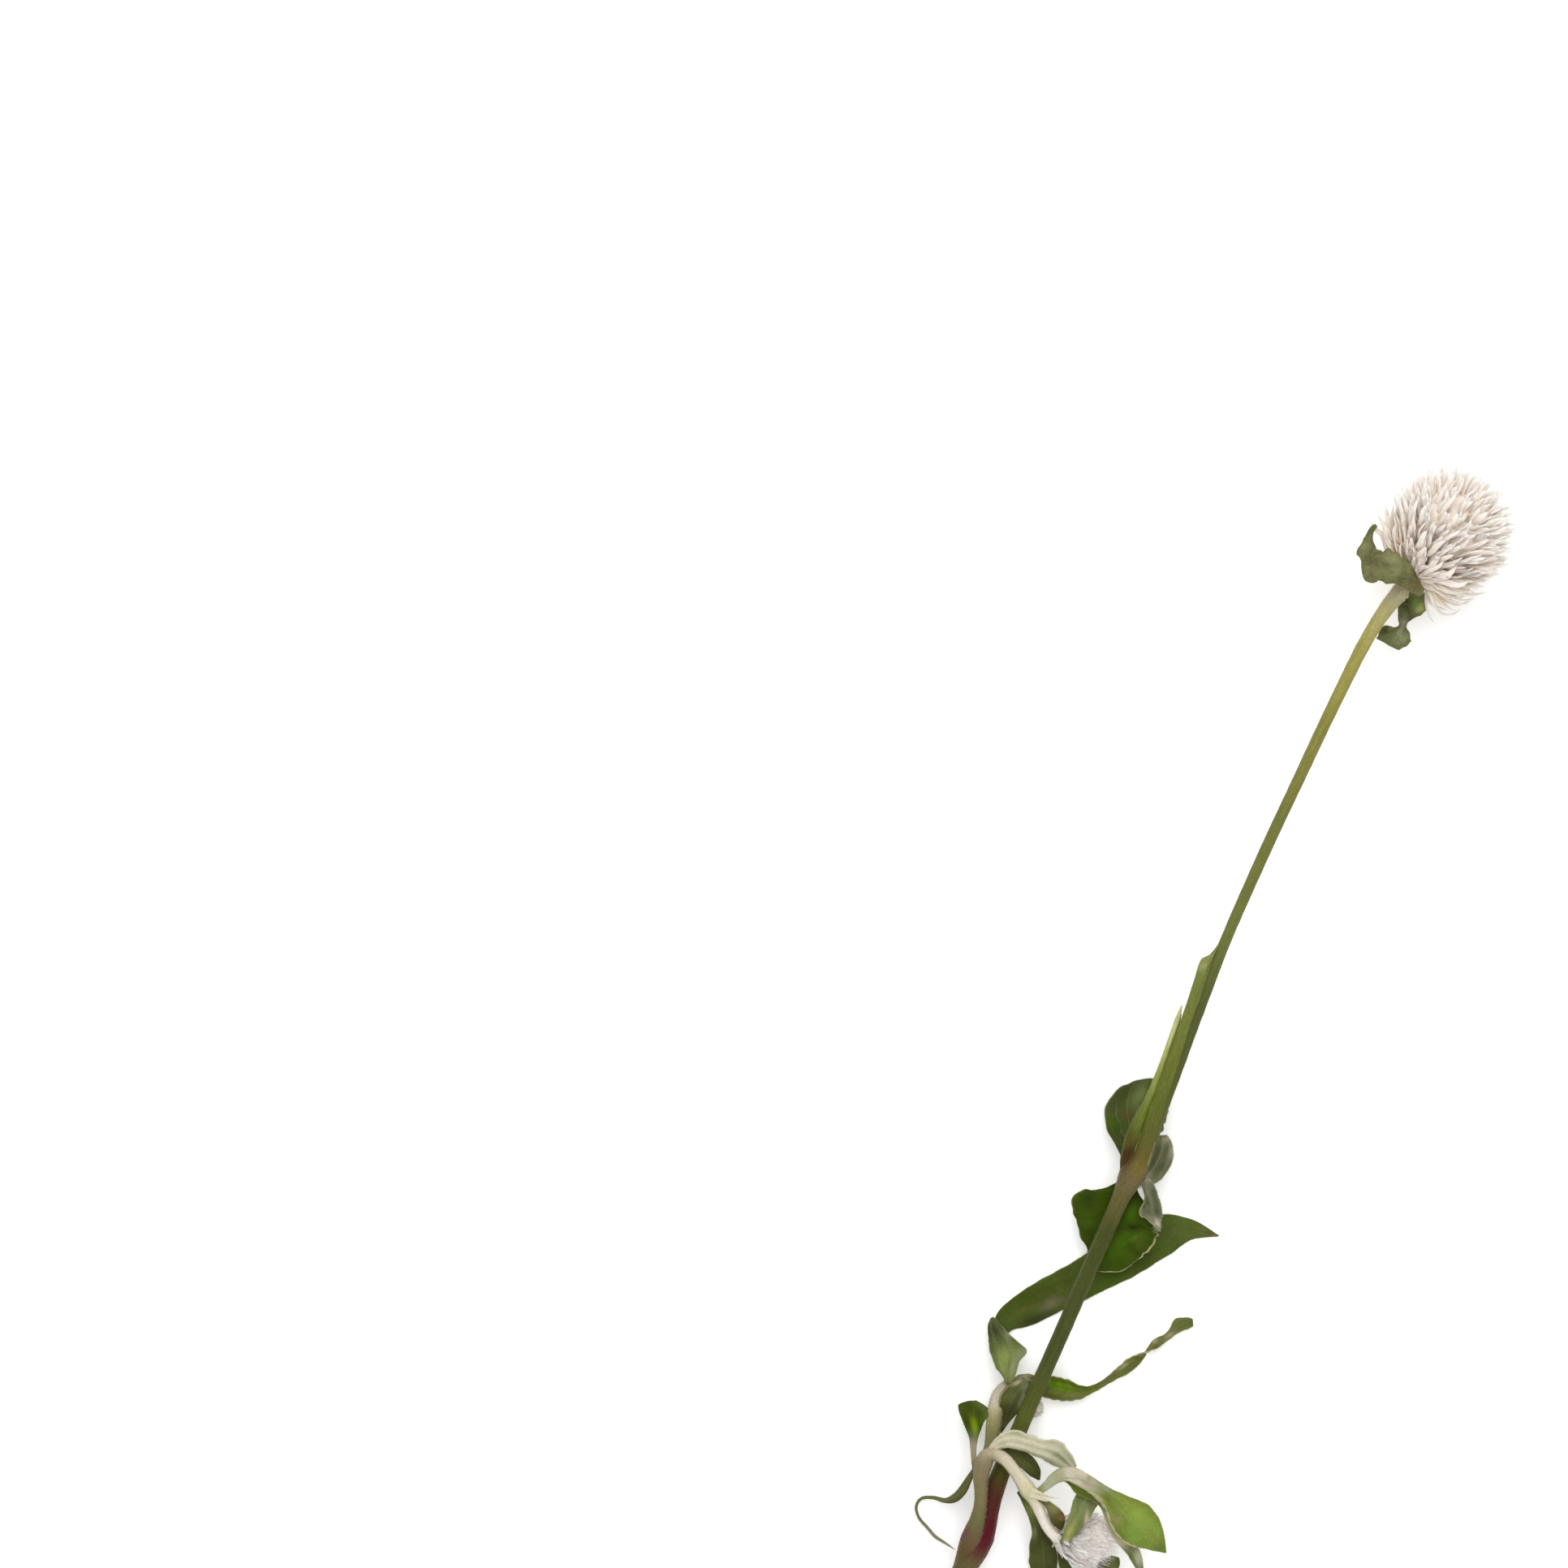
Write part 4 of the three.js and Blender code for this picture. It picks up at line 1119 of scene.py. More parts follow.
@dataclass
class FlowerHead:
    """A globe of papery bracts that stand in pairs and lean towards the top of its axis."""

    node: str
    finish: BractFinish
    centre: tuple[float, float, float]
    radius: float
    core: float
    axis: tuple[float, float, float]
    pairs: int
    length: float
    width: float
    height: float
    lowest: float
    jitter: float
    spread: float = 44.0               # a bract's angle from the axis at the head's middle, degrees
    skirt: float = 14.0                # and how much more it is at the lowest
    arch: float = 0.12
    curl: float = 0.1
    seed: int = 11
    loose: tuple[Rows, ...] = ()
    rust: tuple[tuple[float, float, float], ...] = ()    # rusty spots: x, y and reach
    cluster: Cluster = field(init=False)

    def forms(self) -> list[Form]:
        """Models the bract in eight shapes, each keeled like a boat and a little creased.

        Returns:
            The shapes.
        """
        plain = Form.modelled(8, 5)
        boats = []
        for k in range(8):
            rng = np.random.default_rng(self.seed + k)
            swell, point = rng.uniform(0.25, 0.5), rng.uniform(2.4, 4.2)
            shape = plain.profiled(
                lambda y, s=swell, p=point: (0.6 + 0.4 * smooth(y, 0.0, s)) * (1 - y**p) ** 0.9)
            crease = 1 + 0.14 * np.sin(shape.points[:, 1] * rng.uniform(6, 11) + rng.uniform(0, 6))
            shape.points[:, 0] *= crease
            above = 1.05 - 0.5 * np.abs(shape.points[:, 0])
            shape.points[:, 2] *= np.where(shape.points[:, 2] > 0, above, 0.3)
            shape.points[:, 2] += 0.1 * np.sin(shape.points[:, 1] * rng.uniform(4, 8) + rng.uniform(0, 6))
            boats.append(shape)
        return boats

    def build(self) -> bpy.types.Object:
        """Sets the core, the paired bracts, their fine torn fibres and the loose bracts.

        Returns:
            The finished head.
        """
        self.cluster = Cluster(f"{self.node}_bracts")
        fibres = HairCoat(f"{self.node}_fibres", PAPER_FIBRE, 0.02)
        forms = self.forms()
        rng = np.random.default_rng(self.seed)
        axis = unit(np.array(self.axis))
        u = unit(np.cross(UP, axis))
        v = np.cross(axis, u)
        self.add_core()
        for i in range(self.pairs):
            lift = 1 - (1 - self.lowest) * ((i + 0.5) / self.pairs)
            ring = math.sqrt(max(0.0, 1 - lift * lift))
            turn = i * math.pi * (3 - math.sqrt(5)) + rng.uniform(-0.14, 0.14)
            out = axis * lift + u * ring * math.cos(turn) + v * ring * math.sin(turn)
            out = unit(out + rng.normal(0, 0.025, 3))
            # Painted shade that grows towards the bottom of the head, over a random tone for each pair.
            shade = 0.45 * rng.beta(1.3, 3.4) + 1.2 * max(0.0, -lift)
            for half in (-1.0, 1.0):
                bract = self.add_bract(forms[rng.integers(len(forms))], out, axis, half, shade, rng)
                ends = bract[rng.integers(len(bract) // 3, len(bract), 3)]
                run = unit(bract[-1] - bract[0])
                lean = run + rng.normal(0, 0.35, (3, 3))
                fibres.plant(ends, lean, self.length * rng.uniform(0.06, 0.16, 3))
        for rows in self.loose:
            self.add_loose(rows, rng)
        fibres.build()
        return self.cluster.build(self.finish, self.node)

    def add_core(self) -> None:
        """Adds the solid middle that the bracts stand out of."""
        ball = start(bpy.ops.mesh.primitive_ico_sphere_add, "core", subdivisions=4, radius=self.core)
        points = coordinates(ball)
        core = Form(points * 0 + 0.45, [tuple(face.vertices) for face in ball.data.polygons])
        bpy.data.objects.remove(ball)
        rough = 1 + 0.04 * waves(self.seed, points[:, 0], points[:, 1] + points[:, 2], 4.0)
        # The core's tint is painted shade, so that it reads as shade in the gaps between the bracts.
        self.cluster.add(core, (np.array(self.centre) + points * rough[:, None])[None], tint=0.3)

    def add_bract(self, form: Form, out: np.ndarray, axis: np.ndarray, half: float, shade: float,
                  rng: np.random.Generator) -> np.ndarray:
        """Adds one bract of a pair.

        Args:
            form: The bract's shape.
            out: Straight out of the head at the pair.
            axis: The head's axis.
            half: Which of the pair, -1 or 1.
            shade: How shaded the pair is.
            rng: The head's random numbers.

        Returns:
            The bract's vertices, in millimetres.
        """
        angle = math.acos(max(-1.0, min(1.0, float(out @ axis))))
        low = max(0.0, angle - math.pi / 2)
        away = math.radians(self.spread) * math.sin(min(angle, math.pi / 2)) + math.radians(self.skirt) * low
        tilt = angle - away + rng.normal(0, 0.08)
        towards = unit(axis - out * float(out @ axis))
        run = unit(out * math.cos(tilt) + towards * math.sin(tilt) + rng.normal(0, 0.07, 3))
        keel = unit(out - run * float(out @ run) + rng.normal(0, 0.12, 3))
        side = unit(np.cross(run, keel))
        keel = np.cross(side, run)
        tip = np.array(self.centre) + out * (self.radius - rng.uniform(0, self.jitter))
        apart = self.width * rng.uniform(0.2, 0.45) * half
        length = self.length * rng.uniform(0.8, 1.1)
        width = self.width * rng.uniform(0.8, 1.15)
        arch, curl = self.arch * rng.uniform(0.6, 1.4), rng.normal(half * 0.03, self.curl)
        roll = half * rng.uniform(0.2, 0.8) + rng.normal(0, 0.25) * form.points[:, 1]
        x, y, z = form.points.T
        wide = x * np.cos(roll) * width - z * np.sin(roll) * self.height
        tall = x * np.sin(roll) * width + z * np.cos(roll) * self.height
        rise = arch * (2 * y - y**2) - arch + 0.06 * rng.normal() * y**4
        sway = apart * (0.6 + 0.4 * y) + (curl * y**2 + 0.02 * np.sin(8 * y + rng.uniform(0, 6))) * length
        points = tip + np.outer((y - 1) * length, run) + np.outer(wide + sway, side)
        points = points + np.outer(tall + rise * length, keel)
        dry = sum(np.exp(-((points[:, 0] - a) ** 2 + (points[:, 1] - b) ** 2) / c**2)
                  for a, b, c in self.rust)
        if tip[2] < self.centre[2]:
            dry = 0.0
        shade = min(1.0, shade + rng.uniform(0, 0.25))
        self.cluster.add(form, points[None], tint=shade, dry=np.minimum(1.0, dry) * rng.uniform(0.4, 1.0))
        return points

    def add_loose(self, rows: Rows, rng: np.random.Generator) -> None:
        """Adds one loose bract along a curve of its own.

        Args:
            rows: The curve's points, with the bract's width at each.
            rng: The head's random numbers.
        """
        strap = Form.modelled(8, 8).profiled(lambda y: np.ones_like(y))
        x, y, z = strap.points.T
        rows = tuple((a + rng.normal(0, 0.2), b + rng.normal(0, 0.2), c, w * rng.uniform(0.9, 1.2))
                     for a, b, c, w in rows)
        path = track(rows, np.where(y > 0.999, 1.0, y))
        roll = rng.uniform(-0.5, 0.5) + 0.8 * y * rng.normal()
        wide = x * path.values[:, 3]
        across = path.side * np.cos(roll)[:, None] + path.face * np.sin(roll)[:, None]
        over = path.face * np.cos(roll)[:, None] - path.side * np.sin(roll)[:, None]
        points = path.point + across * wide[:, None] + over * (z * 0.3 + 0.35 * wide**2)[:, None]
        self.cluster.add(strap, points[None], tint=rng.uniform(0.4, 0.9))


# The finishes of this plant

PEDUNCLE = StemFinish(
    "stem_skin", Slot.STEM,
    stops=(
        (-172, 0x5A5230), (-118, 0x55522C), (-105, 0x565029), (-102, 0x5E5230), (-100, 0x5A3426),
        (-98, 0x56101C), (-95, 0x540416), (-92, 0x500810), (-88, 0x4A1814), (-85, 0x462C0A), (-80, 0x484606),
        (-75, 0x565A16), (-50, 0x42491A), (-20, 0x424812), (-12, 0x5C5826), (-8, 0x6A5D3C), (-3, 0x645A24),
        (4, 0x54581A), (20, 0x4C521C), (34, 0x4C5424), (52, 0x666C30), (82, 0x6D6E30), (108, 0x88833B),
        (126, 0x9C944C), (136, 0xA79F68), (140, 0xB0A986), (150, 0x9A9468)),
    sheen=0.02, sides=0.08, pale=0x7C7850,
)
TORN_LONG = StemFinish(
    "torn_shoot_skin", Slot.STEM,
    stops=((0, 0x665A2A), (5, 0x5C561E), (13, 0x555A1C), (24, 0x606820), (40, 0x6C742E), (49, 0x707A36),
           (53, 0x7A8042), (58, 0x666E32)), fibre=0.4, sheen=0.02, sides=0.12,
)
TORN_SHORT = StemFinish(
    "torn_side_skin", Slot.STEM,
    stops=((0, 0x55380F), (6, 0x5C6A0E), (14, 0x5C661C), (26, 0x8C9446), (33, 0xA6AA60), (39, 0xBABE80)),
    fibre=0.4, sheen=0.02,
)
TORN_FIBRE = StemFinish(
    "torn_fibre", Slot.STEM,
    stops=((0, 0x70702E), (14, 0x7C803A), (30, 0x8C9250), (50, 0x969C5C)), felt=0.3, fibre=0.3, sheen=0.02,
)
SHOOT_STALK = StemFinish(
    "shoot_stalk_skin", Slot.STALK,
    stops=(
        (0, 0x505222), (4, 0x5C482A), (8, 0x665438), (12, 0x66643A), (16, 0x746A44), (21, 0x7A6E4A),
        (25, 0x83765A), (28, 0xA89C7E), (31, 0xC6BCA2), (38, 0xD2C8B2), (42, 0xD0CCA4), (46, 0xECE2D2),
        (60, 0xF0E8DC)),
    sheen=0.05, felt=0.15, fibre=0.12,
)
# The paler stops at 9 and 12 mm are partly the stalk's own pale colour and partly painted light where the
# folded leaf shades the stalk.
BACK_STALK = StemFinish(
    "back_stalk_skin", Slot.STALK,
    stops=((0, 0x6E6A40), (6, 0x7A7646), (9, 0x8C875A), (12, 0xB0A684), (16, 0xB4AA92), (20, 0xB0A78E)),
    sheen=0.05, felt=0.2,
)
THREAD = StemFinish(
    "curled_leaf_skin", Slot.DRY_LEAF,
    stops=((0, 0x5C5E34), (5, 0x585C30), (12, 0x5C5E36), (22, 0x706C44), (32, 0x868060), (46, 0x9A957C)),
    felt=0.3, sheen=0.03,
)
ROLLED = StemFinish(
    "rolled_margin_skin", Slot.DRY_LEAF,
    stops=((0, 0x9C9268), (10, 0xA69E74), (30, 0x9E966C)), felt=0.3, sheen=0.05,
)
WHITE_HAIR = HairFinish("white_hair", Slot.BUD_WOOL, root=0x8C8868, tip=0xC4BFA6)
STEM_HAIR = HairFinish("stem_hair", Slot.STALK, root=0x6F7044, tip=0xB2AF90)
PAPER_FIBRE = HairFinish("paper_fibre", Slot.BRACT_WHITE, root=0xE8DCD0, tip=0xF2EAE2)
HEAD_BRACT = BractFinish(
    "head_bract_paper", Slot.BRACT_WHITE,
    stops=((0.0, 0xF0DFCC), (0.3, 0xF5EADE), (0.6, 0xF8F1EA), (1.0, 0xF9F4EF)),
    shade=0xE1CDB8, green=0xDCD2AC, rust=0xDB9A52,
)
SILKY_BRACT = BractFinish(
    "silky_bract_paper", Slot.BRACT_WHITE,
    stops=((0.0, 0xE8DBCB), (0.3, 0xF2EAE2), (0.6, 0xF8F2EE), (1.0, 0xFCF9F7)),
    shade=0xEEE4DC, green=0xE0D9BC, rust=0xB08A66,
)
BUD_BRACT = BractFinish(
    "bud_wool_bract", Slot.BUD_WOOL,
    stops=((0.0, 0xC2BAA4), (0.5, 0xDED5C8), (1.0, 0xEEE9E2)),
    shade=0xD0C5B8, green=0xBFC096, rust=0xB98A5A,
)
OLIVE_BRACT = LeafFinish(
    "olive_bract_leaf", Slot.LEAF_GREY, blade=0x6C6C46, deep=0x535230, fresh=0x84865A, vein=0x8F8C66,
    margin=0x94784C, back=0x74734E, pairs=9, lean=1.0, lateral=0.12, midrib=0.15, felt=0.7, net=0.12,
)
FRESH_BRACT = LeafFinish(
    "two_lobed_bract_leaf", Slot.LEAF_DARK, blade=0x5C5F38, deep=0x3C3F20, fresh=0x767E4C, vein=0x88895F,
    margin=0x86734A, back=0x767656, pairs=8, lean=1.0, lateral=0.15, midrib=0.2, felt=0.65, net=0.1,
)
BACK_LEAF = LeafFinish(
    "back_leaf_skin", Slot.LEAF_GREEN, blade=0x4E5729, deep=0x394119, fresh=0x59662C, vein=0x86895E,
    margin=0x7C7A56, back=0x5F6744, pairs=5, lean=2.4, lateral=0.3, midrib=0.35, felt=0.2,
)
WOOLLY_LEAF = LeafFinish(
    "woolly_leaf_skin", Slot.LEAF_GREY, blade=0x555A3E, deep=0x42452B, fresh=0x676C4C, vein=0x7E8062,
    margin=0x9C9474, back=0x6C6E52, pairs=6, lean=3.4, lateral=0.14, midrib=0.08, felt=0.35, sheen=0.03,
    edge=0.9, rim=0.1, stripe=0.3,
)
FRONT_LEAF = LeafFinish(
    "front_leaf_skin", Slot.LEAF_GREEN, blade=0x354800, deep=0x2A3A00, fresh=0x405A00, vein=0x4C5C0C,
    margin=0x6E6C46, back=0x56603A, pairs=7, lean=1.4, lateral=0.2, midrib=0.35, felt=0.1, sheen=0.0,
)
LONG_LEAF = LeafFinish(
    "long_leaf_skin", Slot.LEAF_GREEN, blade=0x4A5A1E, deep=0x3E4A16, fresh=0x52681A, vein=0x5C5226,
    margin=0x8E8E6A, back=0x566038, pairs=13, lean=2.0, rib=0.06, lateral=0.1, midrib=0.5, felt=0.2,
    sheen=0.0, edge=0.95, rim=0.04,
)
PALE_LEAF = LeafFinish(
    "pale_veined_leaf_skin", Slot.LEAF_GREY, blade=0x6A753C, deep=0x50582E, fresh=0x77843F, vein=0x9C9E74,
    margin=0x929070, back=0x777B58, pairs=16, lean=4.0, lateral=0.3, midrib=0.1, felt=0.25, sheen=0.02,
    stripe=0.12,
)
RIBBON_LEAF = LeafFinish(
    "twisted_leaf_skin", Slot.LEAF_GREEN, blade=0x636C2C, deep=0x4C5124, fresh=0x6C8214, vein=0x7E7C4C,
    margin=0x807C56, back=0x66683C, pairs=12, lean=2.2, lateral=0.1, midrib=0.1, felt=0.25, sheen=0.02,
    edge=0.86, rim=0.14,
)
DARK_LEAF = LeafFinish(
    "dark_leaf_skin", Slot.LEAF_DARK, blade=0x484C22, deep=0x343816, fresh=0x555D2C, vein=0x70724C,
    margin=0x7E7D58, back=0x5C5E40, pairs=6, lean=1.8, lateral=0.12, midrib=0.25, felt=0.3, edge=0.92,
)
SILVER_LEAF = LeafFinish(
    "silver_leaf_skin", Slot.LEAF_GREY, blade=0xC4C0A4, deep=0xA4A684, fresh=0xCAC6AC, vein=0xCFC8B0,
    margin=0xC2BCA2, back=0xB0AC92, pairs=1.5, lean=5.5, lateral=0.1, midrib=0.1, rib=0.1, felt=0.3,
    sheen=0.03, edge=0.93, rim=0.07, stripe=0.45,
)
LIME_LEAF = LeafFinish(
    "lime_leaf_skin", Slot.LEAF_GREEN, blade=0x768838, deep=0x62752A, fresh=0x859842, vein=0x94995C,
    margin=0x93905F, back=0x868864, pairs=9, lean=2.2, lateral=0.12, midrib=0.2, felt=0.25, edge=0.96,
    rim=0.03,
)
BRIGHT_LEAF = LeafFinish(
    "bright_leaf_skin", Slot.LEAF_GREEN, blade=0x445408, deep=0x344006, fresh=0x546A04, vein=0x5C6A1C,
    margin=0x6E7048, back=0x5C663A, pairs=5, lean=1.4, lateral=0.12, midrib=0.15, felt=0.15, sheen=0.0,
)


# The sub-assemblies


@dataclass
class MainStem:
    """The stem with its two nodes, and the two torn side shoots grown together with it."""

    rows: Rows = (
        (-10.6, -171, 2.38, 2.55, 2.5), (-10.4, -150, 3.4, 2.5, 2.5), (-10.5, -130, 4.2, 2.45, 2.4),
        (-10.9, -112, 5, 2.5, 2.5), (-11.15, -104, 5.5, 2.75, 2.7), (-11.3, -98.5, 5.9, 3.6, 3.3),
        (-11.5, -94.5, 6.1, 3.4, 3.1), (-12, -90, 6.3, 2.75, 2.6), (-12.35, -85, 6.5, 2.3, 2.2),
        (-12.6, -78, 6.7, 2, 1.95), (-12.8, -66, 7.1, 1.8, 1.8), (-12.9, -48, 7.7, 1.75, 1.75),
        (-13.1, -30, 8.3, 1.75, 1.75), (-13.2, -15, 8.8, 1.85, 1.85), (-13.15, -10.5, 9, 2.2, 2.1),
        (-12.95, -7, 9.1, 2.95, 2.7), (-12.9, -3, 9.3, 2.6, 2.4), (-12.95, 2, 9.4, 2.2, 2.1),
        (-13.3, 10, 9.7, 1.75, 1.75), (-13.7, 20, 10, 1.55, 1.6), (-14.3, 30, 10.4, 1.42, 1.5),
        (-14.85, 40, 10.7, 1.33, 1.4), (-15.3, 50, 11, 1.27, 1.3), (-15.5, 62, 11.4, 1.27, 1.3),
        (-15.4, 78, 11.8, 1.3, 1.3), (-15.1, 94, 12.2, 1.32, 1.35), (-14.75, 110, 12.7, 1.4, 1.4),
        (-14.25, 123, 13, 1.48, 1.5), (-13.5, 130.5, 13.2, 1.55, 1.55), (-12.6, 135.5, 13.4, 1.75, 1.7),
        (-11.8, 138.4, 13.6, 1.95, 1.8), (-11.3, 140.3, 13.6, 2.05, 1.9), (-10.9, 141.6, 13.3, 1.5, 1.4),
        (-9.4, 146, 13.6, 1, 1),
    )
    short_strip: Rows = (
        (-14, -8.6, 7.6, 0.8, 0.9), (-15.4, -4.4, 9, 1.5, 1.4), (-16.2, -0.6, 9.8, 1.65, 1.6),
        (-16.6, 3.4, 10.2, 1.55, 1.4), (-16.6, 10, 10.6, 1, 1.1), (-17, 18, 10.9, 0.72, 0.95),
        (-17.7, 26, 11.2, 0.62, 0.85), (-18.1, 30, 11.4, 0.56, 0.7), (-18.3, 32, 11.6, 0.34, 0.4),
        (-18.5, 33.6, 11.7, 0.06, 0.06),
    )
    long_strip: Rows = (
        (-12.7, -6.5, 9.9, 1.9, 1.6), (-13.1, 0, 10.2, 1.9, 1.6), (-13.9, 8, 10.6, 1.9, 1.4),
        (-14.8, 17, 10.9, 1.7, 1.3), (-15.7, 26, 11.3, 1.4, 1.25), (-16.45, 34, 11.6, 1.22, 1.2),
        (-17.15, 40, 11.8, 1.15, 1.1), (-17.5, 43, 11.8, 1.25, 1), (-17.45, 44.7, 11.8, 1.2, 0.9),
        (-17, 45.8, 11.7, 0.75, 0.8), (-16.7, 47.3, 11.6, 0.42, 0.6), (-16.3, 49.6, 11.4, 0.25, 0.4),
    )
    fibres: tuple[Rows, ...] = (
        ((-17.8, 31.6, 11.4, 0.1, 0.3), (-17.2, 28, 11.2, 0.26, 0.5), (-16.7, 23, 11.05, 0.34, 0.55),
         (-16.2, 17, 10.9, 0.34, 0.6), (-15.5, 11, 10.75, 0.36, 0.65), (-15, 5, 10.6, 0.4, 0.7),
         (-14.6, 0, 10.4, 0.4, 0.7), (-14.2, -5, 9.8, 0.3, 0.6)),
        ((-16.45, 47.6, 11.4, 0.1, 0.2), (-16.2, 44.5, 11.6, 0.2, 0.4), (-16.05, 41, 11.7, 0.24, 0.45),
         (-15.6, 37, 11.5, 0.26, 0.5), (-15.1, 33, 11.3, 0.3, 0.5), (-14.3, 27, 11, 0.3, 0.6),
         (-13.15, 18, 10.8, 0.3, 0.6), (-12.35, 10, 10.65, 0.24, 0.5), (-11.7, 4, 10.5, 0.2, 0.4),
         (-11, -1, 10.3, 0.18, 0.35), (-10.3, -5.6, 10, 0.08, 0.2)),
        ((-17.9, 41.4, 11.6, 0.3, 0.3), (-18.05, 42.8, 11.9, 0.6, 0.45), (-18.38, 44.2, 11.9, 0.36, 0.36),
         (-18.62, 45.4, 11.9, 0.05, 0.05)),
    )
    stains: tuple[Patch, ...] = (
        Patch(-16, -2.6, 1.7, 1.2, 0x40280C, 2.2), Patch(-17.2, 2, 1.2, 0.7, 0x453410, 1.4),
        Patch(-15.9, 8, 0.9, 0.8, 0x5C6E12, 4.4), Patch(-12.2, -4.6, 1.6, 0.6, 0x745F2A, 1.6),
        Patch(-12.9, -13, 3.4, 0.45, 0x625832, 1), Patch(-17.9, 43.8, 0.7, 0.5, 0xA6A672, 1.6),
        Patch(-18.1, 30.6, 0.6, 0.6, 0xA6A672, 1.8),
    )

    def build(self) -> None:
        """Builds the stem, the torn shoots and their hairs."""
        coat = HairCoat("stem_hairs", STEM_HAIR)
        rods = [
            Rod("stem_skin", PEDUNCLE, self.rows, ("main_stem",), sides=40, ribs=11, depth=0.025, slant=0.35,
                first=-171, hairs_per_mm=44, washes=self.stains),
            Rod("torn_shoot_long", TORN_LONG, self.long_strip, sides=26, ribs=5, depth=0.05, seed=8,
                washes=self.stains),
            Rod("torn_shoot_short", TORN_SHORT, self.short_strip, sides=20, ribs=3, depth=0.05, seed=9,
                washes=self.stains),
        ]
        rods += [Rod(f"torn_fibre_{k + 1}", TORN_FIBRE, rows, sides=8, pitch=0.7, ribs=2, depth=0.1,
                     seed=60 + k, first=46 if k == 2 else 0, hairs_per_mm=26)
                 for k, rows in enumerate(self.fibres)]
        for rod in rods:
            rod.build()
            rod.hairs(coat)
        coat.build()


